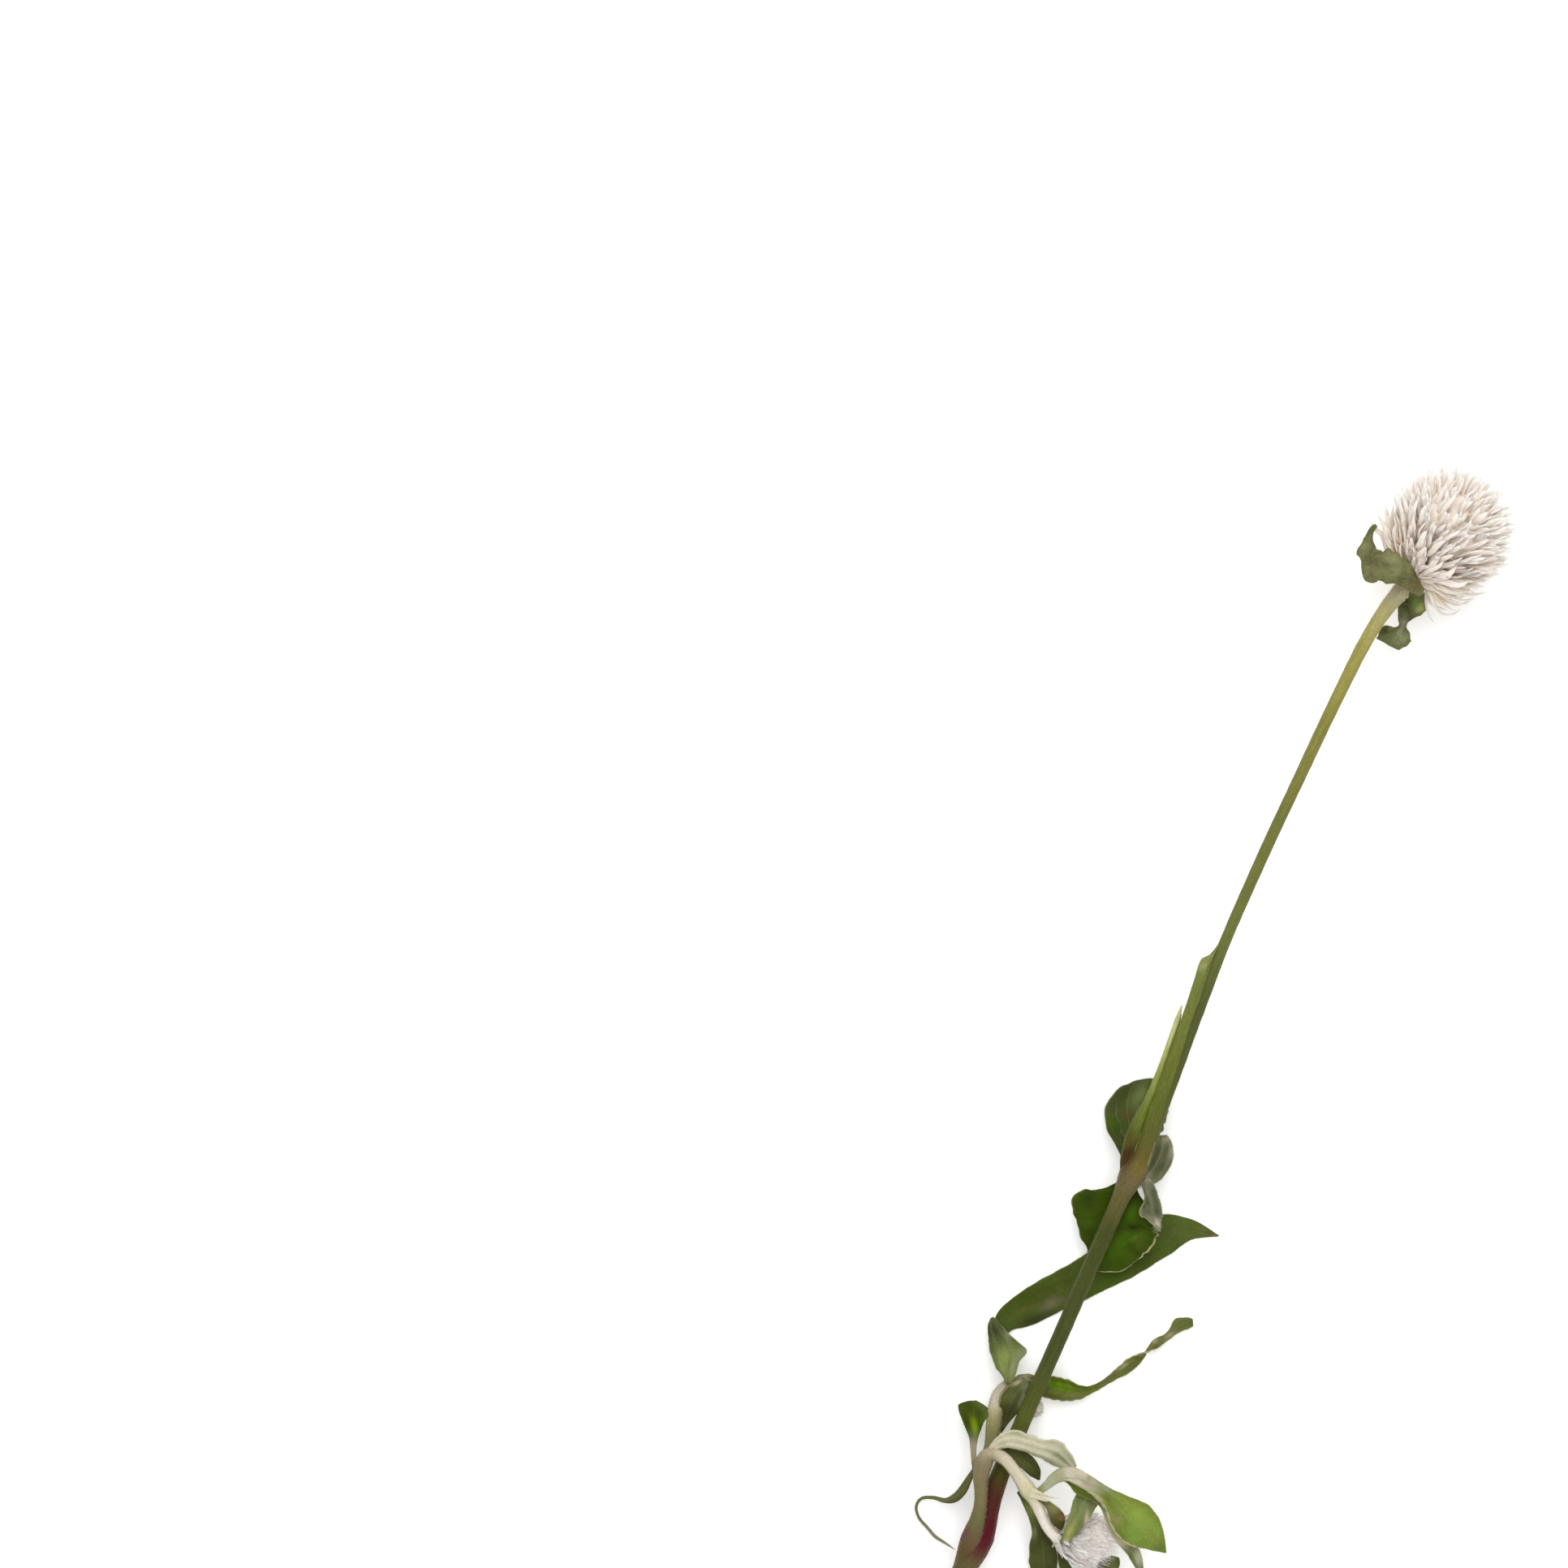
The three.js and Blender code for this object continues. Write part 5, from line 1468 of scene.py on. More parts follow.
@dataclass
class MainHead:
    """The large flower head with its two leafy bracts."""

    head: FlowerHead = field(default_factory=lambda: FlowerHead(
        "head_main", HEAD_BRACT, centre=(-7.0, 156.8, 14.4), radius=15.6, core=10.2, axis=(0.3, 0.95, 0.0),
        pairs=330, length=8.2, width=1.8, height=1.0, lowest=-0.75, jitter=2.0, spread=46, skirt=24,
        curl=0.07, rust=((-5.0, 161.8, 1.3), (-4.4, 165.0, 0.7), (-14.8, 158.3, 0.6), (-8.5, 158.5, 0.7)),
        loose=(
            ((-6.8, 143.2, 14, 0.9), (-4.8, 139.8, 13.2, 0.8), (-3.2, 137.7, 12.6, 0.5),
             (-0.8, 136.4, 12.2, 0.1)),
            ((-6.6, 143.4, 15.4, 0.8), (-4.2, 140.6, 15, 0.8), (-1.5, 139.4, 14.4, 0.6),
             (0.8, 139.2, 14, 0.5), (1.9, 140.4, 13.8, 0.4), (2.5, 141.8, 13.8, 0.1)),
            ((-6.4, 143.6, 16.6, 0.9), (-3.2, 141.4, 16.6, 0.9), (-0.4, 140.4, 16.2, 0.6),
             (1.4, 140.8, 15.8, 0.1)),
            ((-6, 144, 13.4, 0.9), (-2.6, 142.2, 13, 0.9), (0.8, 141.9, 12.8, 0.7),
             (3, 142.8, 12.6, 0.5), (4.6, 145, 12.6, 0.1)),
            ((-6, 144.2, 17.8, 0.9), (-2.4, 142.8, 18, 0.9), (1.4, 142.6, 17.6, 0.7),
             (3.6, 143.6, 17, 0.1)),
            ((-5.6, 144.8, 15.6, 0.9), (-1.8, 143.6, 15.8, 1), (2.2, 143.7, 15.4, 0.7),
             (4.8, 145.2, 15, 0.1)),
            ((-5.6, 145.2, 18.8, 1), (-1.8, 144.4, 19.4, 1.1), (2.2, 144.8, 19, 0.8),
             (5, 146, 18.2, 0.1)),
            ((-5, 145.8, 13.6, 1), (-1, 144.8, 13.6, 1.1), (3, 145.2, 13.4, 0.8),
             (6.6, 148, 13, 0.1)),
            ((-6.4, 143, 13, 0.8), (-3.8, 140.6, 12.2, 0.8), (-1.6, 140, 11.6, 0.5),
             (0.2, 140.6, 11.2, 0.1)),
            ((-6, 143.4, 14.6, 0.8), (-3.4, 142, 14.4, 0.8), (-0.8, 141.2, 14, 0.6),
             (0.6, 141.4, 13.6, 0.1)),
            ((-5.8, 144.4, 16.8, 0.8), (-2.6, 143, 17.2, 0.8), (0.8, 143.4, 17, 0.6),
             (2.8, 145, 16.6, 0.1)),
            ((-6.8, 143.4, 16, 0.9), (-4.8, 141.2, 17.2, 0.9), (-3, 139.9, 17, 0.6),
             (-1.4, 139.4, 16.6, 0.1)),
            ((-6.4, 143.6, 19.4, 0.9), (-4.4, 142.8, 20, 1), (-1.8, 142.4, 20, 0.7),
             (0.4, 143, 19.4, 0.1)),
            ((-6, 144.6, 20.8, 1.1), (-3.2, 143.8, 21.8, 1.2), (-0.4, 144.2, 21.8, 0.9),
             (2.2, 145.6, 21.2, 0.1)),
            ((-5.4, 145, 20, 1), (-2, 144.8, 20.8, 1.1), (1.6, 145.6, 20.4, 0.8),
             (4.4, 147.4, 19.6, 0.1)),
            ((-6.2, 145.2, 21.8, 1.4), (-3.8, 145.2, 23.2, 1.6), (-0.9, 146.2, 23.4, 1.2),
             (1.5, 148, 22.8, 0.1)),
            ((-7, 145, 22, 1.4), (-5.6, 145.9, 23.8, 1.7), (-3.8, 147.5, 25, 1.3),
             (-2.6, 149.8, 25.4, 0.1)),
            ((-8, 145, 21.8, 1.4), (-8, 146.4, 23.8, 1.7), (-7.8, 148.6, 25.4, 1.3),
             (-7.2, 151, 26, 0.1)),
            ((-9.2, 145.6, 21.6, 1.4), (-10, 147, 23.4, 1.7), (-10.4, 149, 24.8, 1.3),
             (-10.6, 151.4, 25.4, 0.1)),
            ((-10.8, 146.4, 21.2, 1.4), (-12, 147.7, 22.6, 1.7), (-13.2, 149.4, 23.6, 1.3),
             (-14.2, 151.4, 24, 0.1)),
            ((-16, 148.6, 15.4, 1.4), (-19, 149.4, 14.6, 1.6), (-21.8, 150.4, 14, 1.1),
             (-24.2, 151.9, 13.6, 0.1)),
            ((-16, 149.4, 17, 1.4), (-19, 150.8, 16.4, 1.6), (-21.4, 152.2, 15.6, 1.1),
             (-23.4, 154, 15, 0.1)),
            ((-9.6, 147.9, 12.6, 1.4), (-11.8, 146.6, 9.4, 1.5), (-14, 146, 6.6, 0.2)),
            ((-6.6, 146.2, 11.2, 1.4), (-5, 143.6, 8, 1.5), (-3.6, 142.2, 5.4, 0.2)),
            ((-4.4, 148, 12, 1.4), (0.4, 146, 9.8, 1.5), (4, 145.6, 8.4, 0.2))),
    ))
    leaves: tuple[LeafBlade, ...] = (
        LeafBlade(
            "head_bract_left", OLIVE_BRACT, wave=(0.3, 2.5, 0.4), seed=2, density=2.2, ragged=0.11,
            crumple=0.5,
            rows=(
                (-6.9, 140.9, 18.6, 0.9, 0.5, 0, -4), (-8.6, 141.7, 20, 1.6, 1.3, 0, -8),
                (-10.8, 142.5, 21.4, 2.2, 2.1, 0, -12), (-13, 143, 22.2, 2.8, 3.1, 0, -14),
                (-15.4, 143.3, 22.4, 3.4, 3.6, 0, -16), (-17.6, 143.3, 21.8, 3.7, 4.1, 0, -18),
                (-19.4, 143.3, 20.4, 5.2, 3.3, 0, -18), (-20.7, 144, 19, 2.5, 2.8, 0, -16),
                (-21.9, 145.2, 17.4, 2.9, 1.9, 0, -12), (-22.7, 147, 16.6, 1.6, 1, 0, -8),
                (-23.1, 148.9, 15.8, 0.8, 0.6, 0, -4), (-22.9, 150.4, 15.4, 0.8, 0.5, 0, 0),
                (-22.5, 151.2, 15.4, 0.5, 0.2, 0, 0)),
            # These spots are mostly painted light and shade of the ruffled blade, darker in folds and
            # hollows and lighter on raised parts, with some brown tones of its own.
            washes=(
                Patch(-20.2, 143, 1.3, 0.8, 0x54502E), Patch(-16.6, 145.6, 2.2, 0.8, 0x84865A),
                Patch(-10.6, 144.6, 1.2, 0.9, 0x42391C), Patch(-12.8, 141.5, 1.4, 0.7, 0x57532F),
                Patch(-21.4, 148.6, 0.9, 0.8, 0x4C4828), Patch(-23.2, 145.6, 1.2, 0.8, 0x83855A),
                Patch(-9.2, 142, 1.5, 0.8, 0x5E5030), Patch(-14.4, 143, 1.1, 0.7, 0x7F8054),
                Patch(-18.6, 141.6, 1.2, 0.5, 0x75744A), Patch(-12, 144.4, 0.7, 0.6, 0x74744A, 2, 150),
                Patch(-17.4, 143.2, 0.6, 0.6, 0x5A5834, 2.5, 20))),
        LeafBlade(
            "head_bract_right", FRESH_BRACT, wave=(0.25, 2, 1.1), seed=3, density=2.2, ragged=0.1,
            crumple=0.4,
            rows=(
                (-8.6, 141.4, 14, 1.4, 1.2, 0, 8), (-7.4, 139.8, 12.8, 2.5, 2, 8, 14),
                (-7.3, 138, 11.8, 3, 2.6, 12, 16), (-7.6, 136.2, 10.9, 1.9, 2.6, 6, 8),
                (-7.7, 134.4, 10.2, 0.95, 1.6, -10, 4), (-7.5, 133, 9.6, 0.95, 1.1, -10, 0),
                (-7.5, 131.8, 8.9, 2.7, 2.2, -12, -12), (-7.7, 130.6, 8.4, 3.4, 3.7, -12, -14),
                (-7.7, 129.4, 7.6, 2.8, 4, -8, -14), (-7.75, 128.4, 7, 2.5, 4.1, -4, -8),
                (-7.8, 127.7, 6.8, 2.1, 4.2, 0, -6)),
            washes=(
                Patch(-8.8, 137.6, 1.4, 0.9, 0x37401A, 1.4), Patch(-5.7, 138.2, 1.2, 0.9, 0x97A55C),
                Patch(-6.9, 138.9, 0.8, 0.8, 0x5F7A2A), Patch(-10.8, 130.2, 1.2, 0.9, 0x3A4218),
                Patch(-6.4, 130.4, 1.8, 0.8, 0x8A8C64), Patch(-7.7, 133.8, 1, 0.8, 0x83816A),
                Patch(-7.6, 131.6, 0.5, 0.8, 0x93947A, 2.5, 80), Patch(-8.4, 135.6, 0.9, 0.6, 0x6E6A4E),
                Patch(-4.6, 139.4, 0.9, 0.7, 0x7A6842), Patch(-8.6, 129, 1, 0.7, 0x6F7A48, 2, 10),
                Patch(-9.6, 131.6, 0.8, 0.6, 0x606A3C))),
    )

    def build(self) -> None:
        """Builds the head, its bract leaves and their hairs."""
        coat = HairCoat("head_bract_hairs", WHITE_HAIR)
        self.head.build()
        for leaf in self.leaves:
            leaf.build()
            leaf.hairs(coat)
        coat.build()


@dataclass
class UpperNode:
    """The four leaves at the upper node, and the ring of hairs there."""

    ring_hairs: int = 240
    leaves: tuple[LeafBlade, ...] = (
        LeafBlade(
            "upper_leaf_back", BACK_LEAF, wave=(0.25, 3, 0.2), seed=4,
            rows=(
                (-14.2, -5, 6.9, 1.2, 1, 0, 0), (-16, -1.2, 5.6, 2.8, 2.6, 0, 6),
                (-17.2, 1.8, 5, 5.2, 5.4, 0, 10), (-17.6, 4.6, 4.5, 6.9, 7.2, 0, 8),
                (-17.3, 8.2, 3.8, 6.6, 7, 0, 2), (-16.5, 11.4, 2.8, 4.9, 6, 0, -8),
                (-15.7, 13.8, 1.5, 3.3, 4.1, 0, -16), (-15.3, 15.3, 0.5, 1.3, 1.4, 0, -16)),
            washes=(
                Patch(-23, 7, 1.8, 0.7, 0x333D12, 1.6), Patch(-22, 2.2, 2.4, 1, 0x3C5404, 0.6),
                Patch(-18.2, 11, 1.4, 0.7, 0x6C7840, 1.8), Patch(-19.6, 5, 1.2, 0.7, 0x5C4A22),
                Patch(-18.6, 9.4, 1.3, 0.5, 0x6F7C44, 2.6, 100), Patch(-11, 9, 0.8, 0.8, 0x5C6248, 4),
                Patch(-18.4, 3.4, 0.9, 0.6, 0x3F5A0A))),
        LeafBlade(
            "upper_leaf_ear", WOOLLY_LEAF, wave=(0.15, 2, 0.9), seed=5, fringe=14, down=1.6,
            fringe_length=0.55,
            rows=(
                (-11.4, -6.2, 8.2, 0.9, 1.4, 6, 10), (-9.6, -4.6, 8, 1.2, 2.9, 10, 16),
                (-8.9, -2, 7.7, 2, 3.1, 12, 24), (-8.8, 0.8, 7.2, 2.1, 2.9, 10, 26),
                (-9.2, 2.9, 6.6, 2, 2, 6, 20), (-10.1, 4.6, 6.1, 0.8, 0.9, 0, 8)),
            washes=(
                Patch(-9.6, -1, 1.2, 0.8, 0x474B2C, 3.2), Patch(-7, 0.6, 0.7, 0.5, 0x6E6E54, 3),
                Patch(-8.8, 4.4, 1.6, 0.9, 0xA89F80, 0.6, 140),
                Patch(-6.6, 2, 0.7, 0.8, 0x9A9376, 2.2, 115), Patch(-9.6, -5.4, 1.2, 0.7, 0x9A967A),
                Patch(-7.2, -4.2, 0.7, 0.4, 0x6A6A4A))),
        LeafBlade(
            "upper_leaf_front", FRONT_LEAF, wave=(0.3, 3, 1.7), seed=6, crumple=0.2,
            rims=((-1.0, 0.34, 0.8, 0.17), (-1.0, 0.78, 0.97, 0.13)),
            rows=(
                (-12.6, -7.8, 6.7, 1.4, 1.4, 0, 0), (-12.6, -10.4, 5.9, 3.6, 3.4, 0, 4),
                (-12.4, -13.6, 5.5, 8.2, 7.8, 0, 8), (-12.6, -16.7, 5.2, 10.5, 10.6, 0, 10),
                (-12.3, -19.8, 4.9, 10.4, 8.7, 0, 8), (-12, -22.8, 4.6, 9.1, 6.7, 0, 6),
                (-11.8, -25.4, 4.3, 7.2, 5, 0, 4), (-12.3, -27.6, 4.1, 4, 3, 0, 2),
                (-13.3, -29.6, 4, 1, 1, 0, 0)),
            # The darkest narrow spots lie along the blade's folds: partly its darker veins, partly painted
            # shade in the folds.
            washes=(
                Patch(-8.9, -21.6, 1.5, 0.8, 0x436400, 2, 75),
                Patch(-9.4, -14.4, 1.2, 0.9, 0x426600, 2.4, 85),
                Patch(-10.2, -25.4, 1.2, 0.7, 0x3C5A00, 1.6, 80),
                Patch(-7.6, -17.4, 2.6, 0.9, 0x1C2A00, 0.28, 118), Patch(-18, -20, 2.2, 0.6, 0x42540C, 1.6),
                Patch(-19.6, -15.6, 2.6, 0.7, 0x27340A, 0.5, 20), Patch(-4.8, -20, 1.2, 0.5, 0x4A5A14, 2.4),
                Patch(-17, -25, 1.6, 0.5, 0x46560C), Patch(-7.6, -24, 1.2, 0.6, 0x3C5606, 1.6, 40),
                Patch(-6.4, -19.6, 0.5, 0.5, 0x567414, 3, 60),
                Patch(-10.4, -17.6, 0.6, 0.6, 0x2A3C02, 3, 80))),
        LeafBlade(
            "upper_leaf_flap", WOOLLY_LEAF, wave=(0.2, 2, 0.3), seed=7, fringe=15, down=1.4,
            fringe_length=0.6, ragged=0.09, crumple=0.2, folds=(0.22, 1.0, 0.1),
            rims=((1.0, 0.35, 0.98, 0.12),),
            rows=(
                (-11, -6.1, 9.3, 0.6, 0.8, 0, 0), (-9.4, -6.9, 9.7, 1.4, 1.2, 0, -8),
                (-7.6, -8.8, 9.6, 1.9, 1.3, 2, -14), (-6.2, -10.5, 9.3, 1.9, 2, 4, -16),
                (-5.2, -11.9, 9, 1.8, 3.2, 4, -16), (-4.2, -13.1, 8.6, 1.6, 2.3, 4, -12),
                (-3.1, -14.4, 8.2, 0.8, 0.9, 4, -6), (-1.9, -15.8, 7.9, 0.2, 0.2, 4, -4)),
            washes=(
                Patch(-6.2, -10.4, 1.5, 0.6, 0x5E664A), Patch(-5.2, -9.6, 0.8, 0.5, 0x575E44, 2, 130),
                Patch(-9.2, -6.2, 1.2, 0.8, 0xA6A086, 0.6, 130),
                Patch(-3, -14.5, 0.9, 1, 0xC2BBA0, 1.6, 130),
                Patch(-5.4, -14, 0.6, 0.8, 0xA39C80, 2.4, 165), Patch(-7.4, -13.2, 0.7, 0.6, 0x7E7E62),
                Patch(-8.4, -8.6, 0.4, 0.6, 0x8E8E72, 3, 125),
                Patch(-6.8, -12, 0.4, 0.4, 0x7A7E60, 3, 125))),
    )

    def build(self) -> None:
        """Builds the leaves with their hairs, and the ring of hairs at the node."""
        coat = HairCoat("upper_node_hairs", WHITE_HAIR)
        for leaf in self.leaves:
            leaf.build()
            leaf.hairs(coat)
        rng = np.random.default_rng(40)
        turn = rng.uniform(0, 2 * np.pi, self.ring_hairs)
        lift = rng.normal(-7.9, 0.3, self.ring_hairs)
        out = np.stack([np.cos(turn), 0 * turn, np.sin(turn)], axis=1)
        roots = np.array([-12.95, 0, 9.1]) + out * (2.8, 0, 2.55) + np.outer(lift, [0, 1, 0])
        lean = out + rng.normal(0, 0.35, roots.shape) + (0, -0.9, 0)
        coat.plant(roots, lean, rng.uniform(0.4, 1.0, self.ring_hairs))
        spray = rng.normal(0, 1, (320, 3)) * (0.8, 0.5, 0.3) + (-9.4, -7.0, 10.4)
        coat.plant(spray, rng.normal(0, 0.4, spray.shape) + (0.9, -0.7, 0.1), rng.uniform(0.6, 1.8, 320))
        tip = rng.normal(0, 1, (160, 3)) * (0.5, 0.4, 0.15) + (-2.9, -15.0, 8.2)
        coat.plant(tip, rng.normal(0, 0.4, tip.shape) + (0.5, -0.8, 0.0), rng.uniform(0.4, 1.1, 160))
        coat.build()


@dataclass
class ShootB:
    """The side shoot behind the stem: stalk, woolly bud and four leaves."""

    stalk: Rows = (
        (-17, -79.2, 9, 1.2, 1), (-17.4, -76.2, 8.1, 1.3, 1.1), (-18, -73.4, 7.4, 1.6, 1.3),
        (-18.7, -71, 6.7, 1.75, 1.4), (-19.3, -69, 6.1, 1.7, 1.4), (-19.9, -67.2, 5.7, 1.55, 1.4),
        (-20.3, -65.4, 5.3, 1.4, 1.3), (-20.2, -63.6, 5, 1.15, 1.1), (-19.6, -62, 4.8, 0.9, 0.9),
        (-18.6, -60.6, 4.8, 0.7, 0.6),
    )
    bud_stalk: Rows = (
        (-19.2, -62.6, 4.8, 0.55, 0.55), (-16.4, -63.3, 2.4, 0.5, 0.5), (-14.2, -64, 2.2, 0.5, 0.5),
        (-12.2, -64.3, 2.4, 0.5, 0.5),
    )

    leaves: tuple[LeafBlade, ...] = (
        LeafBlade(
            "long_leaf", LONG_LEAF, seed=8, density=1.2, quilt=0.06, crumple=0.1, ragged=0.03,
            rows=(
                (-18.6, -61.4, 4.3, 0.9, 0.9, 0, 0), (-21.5, -58.4, 3, 1, 1, 0, 4),
                (-24.4, -55, 1.7, 1.3, 1.3, 0, 6), (-25.6, -51.6, 0.7, 1.9, 1.9, 0, 4),
                (-24.9, -48.2, 0.31, 3, 3, 0, 0), (-21.7, -44, 0.31, 4.1, 4.1, 0, 0),
                (-16.3, -37, 0.31, 4.4, 4.4, 0, 0), (-11.2, -30.7, 0.31, 4.8, 4.8, 0, 0),
                (-5.2, -22.8, 0.31, 5.1, 5.1, 0, 0), (-0.2, -16.2, 0.31, 4.7, 4.7, 0, 0),
                (4.8, -12.8, 0.31, 2.5, 2.5, 0, 0), (11.4, -11.4, 0.31, 0.1, 0.1, 0, 0)),
            washes=(
                Patch(-22.5, -41.5, 2.4, 0.8, 0x3E4A0C, 2.4, 45),
                Patch(-19.4, -46.2, 1.6, 1, 0x363A17, 3.2, 45),
                Patch(-17.4, -41.2, 1.2, 0.95, 0x68664A, 2.2, 50),
                Patch(-7, -30.6, 2.2, 0.8, 0x42580E, 2.6, 50),
                Patch(3, -14.4, 2, 0.6, 0x53612E, 1.6, 20),
                Patch(-2.4, -22.6, 1, 0.8, 0x3E4C12, 4, 53),
                Patch(-22.6, -44.8, 0.5, 0.45, 0x6E601E, 5, 50),
                Patch(-15.6, -39.6, 0.7, 0.6, 0x5C5A38, 4, 50), Patch(10.4, -11.5, 0.7, 0.8, 0x86604E),
                Patch(8, -11.2, 1.6, 0.5, 0x65633C), Patch(1.6, -11.6, 1.4, 0.6, 0x546428, 2.2, 20),
                Patch(-0.6, -18.4, 1.6, 0.6, 0x4E6020, 3, 50))),
        LeafBlade(
            "shoot_b_leaf_left", PALE_LEAF, wave=(0.25, 2, 0.5), seed=9, ragged=0.05, crumple=0.25,
            folds=(0.15, 1.2, 0.3),
            rows=(
                (-19.2, -61.7, 6.6, 0.8, 0.8, 0, 0), (-19.9, -60, 6.6, 1.5, 1.5, 0, 8),
                (-20.7, -58.4, 6.3, 2.6, 2.1, 0, 14), (-21.4, -57.3, 6.1, 3.1, 2.9, 0, 14),
                (-21.9, -56.5, 5.9, 3.5, 4.5, 0, 12), (-22.5, -55.5, 5.6, 3.6, 5, 0, 10),
                (-23.4, -54.2, 5.2, 3.6, 3.1, 0, 10), (-25.1, -52.4, 4.6, 3.2, 1.7, 0, 10),
                (-26.8, -51, 3.8, 2.4, 0.9, 0, 4), (-28, -50, 3.4, 1.4, 0.6, 0, 2),
                (-28.7, -49.4, 3.2, 0.3, 0.2, 0, 0)),
            washes=(
                Patch(-27, -52.4, 3.2, 1, 0x252A12, 1.2, 130),
                Patch(-24.6, -54.4, 1.5, 0.7, 0x4E5C28, 1.6, 150),
                Patch(-22.4, -56.4, 1.4, 0.9, 0x84964E, 1.5, 120),
                Patch(-19.2, -54, 1.3, 0.9, 0x7F8464, 1.3),
                Patch(-23.6, -51.8, 0.7, 0.7, 0x878870, 2, 150),
                Patch(-19.7, -57.6, 0.7, 0.8, 0x888B68, 3.6),
                Patch(-21.8, -59, 0.9, 0.6, 0x7C8648, 1.8, 140),
                Patch(-22, -52.6, 1.2, 0.6, 0x50582F, 1.4, 0))),
        LeafBlade(
            "shoot_b_leaf_right", RIBBON_LEAF, wave=(0.12, 5, 0.8), seed=10, quilt=0.04, ragged=0.08,
            crumple=0.3, density=2.0, fringe=6, folds=(0.16, 1.6, 0.4),
            rims=((-1.0, 0.46, 0.95, 0.12), (1.0, 0.52, 0.95, 0.1)),
            rows=(
                (-18.6, -61.8, 5.4, 1.2, 1, 0, 10), (-16.2, -60.2, 4.2, 2, 1.7, 2, 24),
                (-13, -59.4, 3, 2.4, 2.3, 4, 34), (-9.4, -58.5, 2.5, 2.8, 2.7, 6, 40),
                (-6, -57.7, 2.4, 2.5, 2.2, 8, 44), (-3.2, -56.7, 2.3, 1.5, 1.5, 10, 44),
                (-0.8, -54.9, 2.3, 0.9, 0.9, 14, 40), (1.2, -52.2, 2.4, 0.85, 0.85, 20, 30),
                (2.8, -49.6, 2.5, 1.2, 1.1, 24, 26), (4.2, -47.2, 2.6, 1.7, 1.5, 26, 22),
                (5.3, -45, 2.7, 1.5, 1.6, 34, 20), (6.3, -43.2, 2.5, 1, 1, 60, 18),
                (7, -41.7, 2.4, 0.95, 0.9, 110, 16), (7.9, -40, 2.2, 1.1, 1, 156, 16),
                (9, -38.5, 2, 0.9, 0.9, 176, 10), (10, -37, 1.8, 0.7, 0.7, 180, 8),
                (10.7, -35.4, 1.6, 1, 1.2, 182, 6), (11.5, -33.9, 1.4, 1.2, 1.9, 184, 4),
                (12.8, -32.6, 1.2, 1.4, 1.4, 184, 4), (14, -31.9, 1.1, 0.8, 0.7, 184, 4)),
            washes=(
                Patch(-8.6, -57.4, 1.6, 1, 0x608000, 2.4, 12),
                Patch(-8, -60.3, 0.9, 0.8, 0x4A5220, 3.4, 20),
                Patch(-16.6, -59.4, 0.9, 1, 0xB2AB88, 2.6, 35),
                Patch(-12, -59.6, 1.2, 0.7, 0x5F6838, 2, 20), Patch(-1.5, -55.4, 1, 0.6, 0x5A6420, 2, 35),
                Patch(-4.6, -58.6, 0.6, 0.7, 0x6E6A40, 4, 25),
                Patch(1.4, -51.6, 0.9, 0.9, 0x6C663E, 2.6, 55),
                Patch(5.3, -46.6, 0.9, 1, 0x5C602C, 1.8, 65), Patch(3.3, -47.4, 0.5, 0.9, 0x9C9670, 3, 60),
                Patch(8.6, -40.6, 0.6, 1, 0x444B1A), Patch(7.4, -39.4, 0.5, 0.8, 0xA29B74, 2, 45),
                Patch(12.2, -33.2, 1.1, 0.9, 0x59642A, 1.5, 45),
                Patch(10.2, -36.8, 0.7, 0.8, 0x948E68, 1.8, 60), Patch(6.2, -43, 0.5, 0.7, 0x8C8660, 2, 65),
                Patch(13.6, -32.2, 0.6, 0.6, 0x4A5220))),
        LeafBlade(
            "shoot_b_leaf_folded", DARK_LEAF, wave=(0.12, 2, 0.4), seed=11, folds=(0.2, 1.0, 0.2),
            rows=(
                (-16.4, -59, 6.2, 1.3, 0.5, 0, 6), (-16.7, -60.4, 6.6, 2.1, 1.2, -4, 12),
                (-17, -62, 6.8, 2.5, 2.1, -6, 18), (-17.1, -64, 6.8, 2.7, 2.6, -8, 20),
                (-17, -66, 6.5, 2.7, 2.6, -6, 20), (-16.9, -67.6, 6.1, 2.2, 1.9, -4, 18),
                (-16.6, -69.4, 5.5, 1.3, 0.8, 0, 14), (-16.4, -71.2, 5, 0.7, 0.5, 0, 8),
                (-16.3, -72.8, 4.6, 0.3, 0.2, 0, 8)),
            washes=(
                Patch(-18.7, -64.6, 0.8, 0.9, 0x5C6128, 2.8),
                Patch(-15.6, -60.6, 1.2, 0.8, 0x6A7050, 1.4, 30),
                Patch(-16.4, -66.8, 1.1, 1, 0x3A3D1C, 1.5), Patch(-15, -63.6, 0.6, 0.8, 0x6F7352, 3.6),
                Patch(-17.2, -64, 0.8, 0.8, 0x646636, 2.2), Patch(-16.4, -70.8, 0.8, 0.8, 0x5E5A40),
                Patch(-19.5, -66.8, 0.4, 0.9, 0x8A8450, 3), Patch(-17.6, -60.6, 0.5, 0.9, 0xA6A07C, 3, 45))),
    )

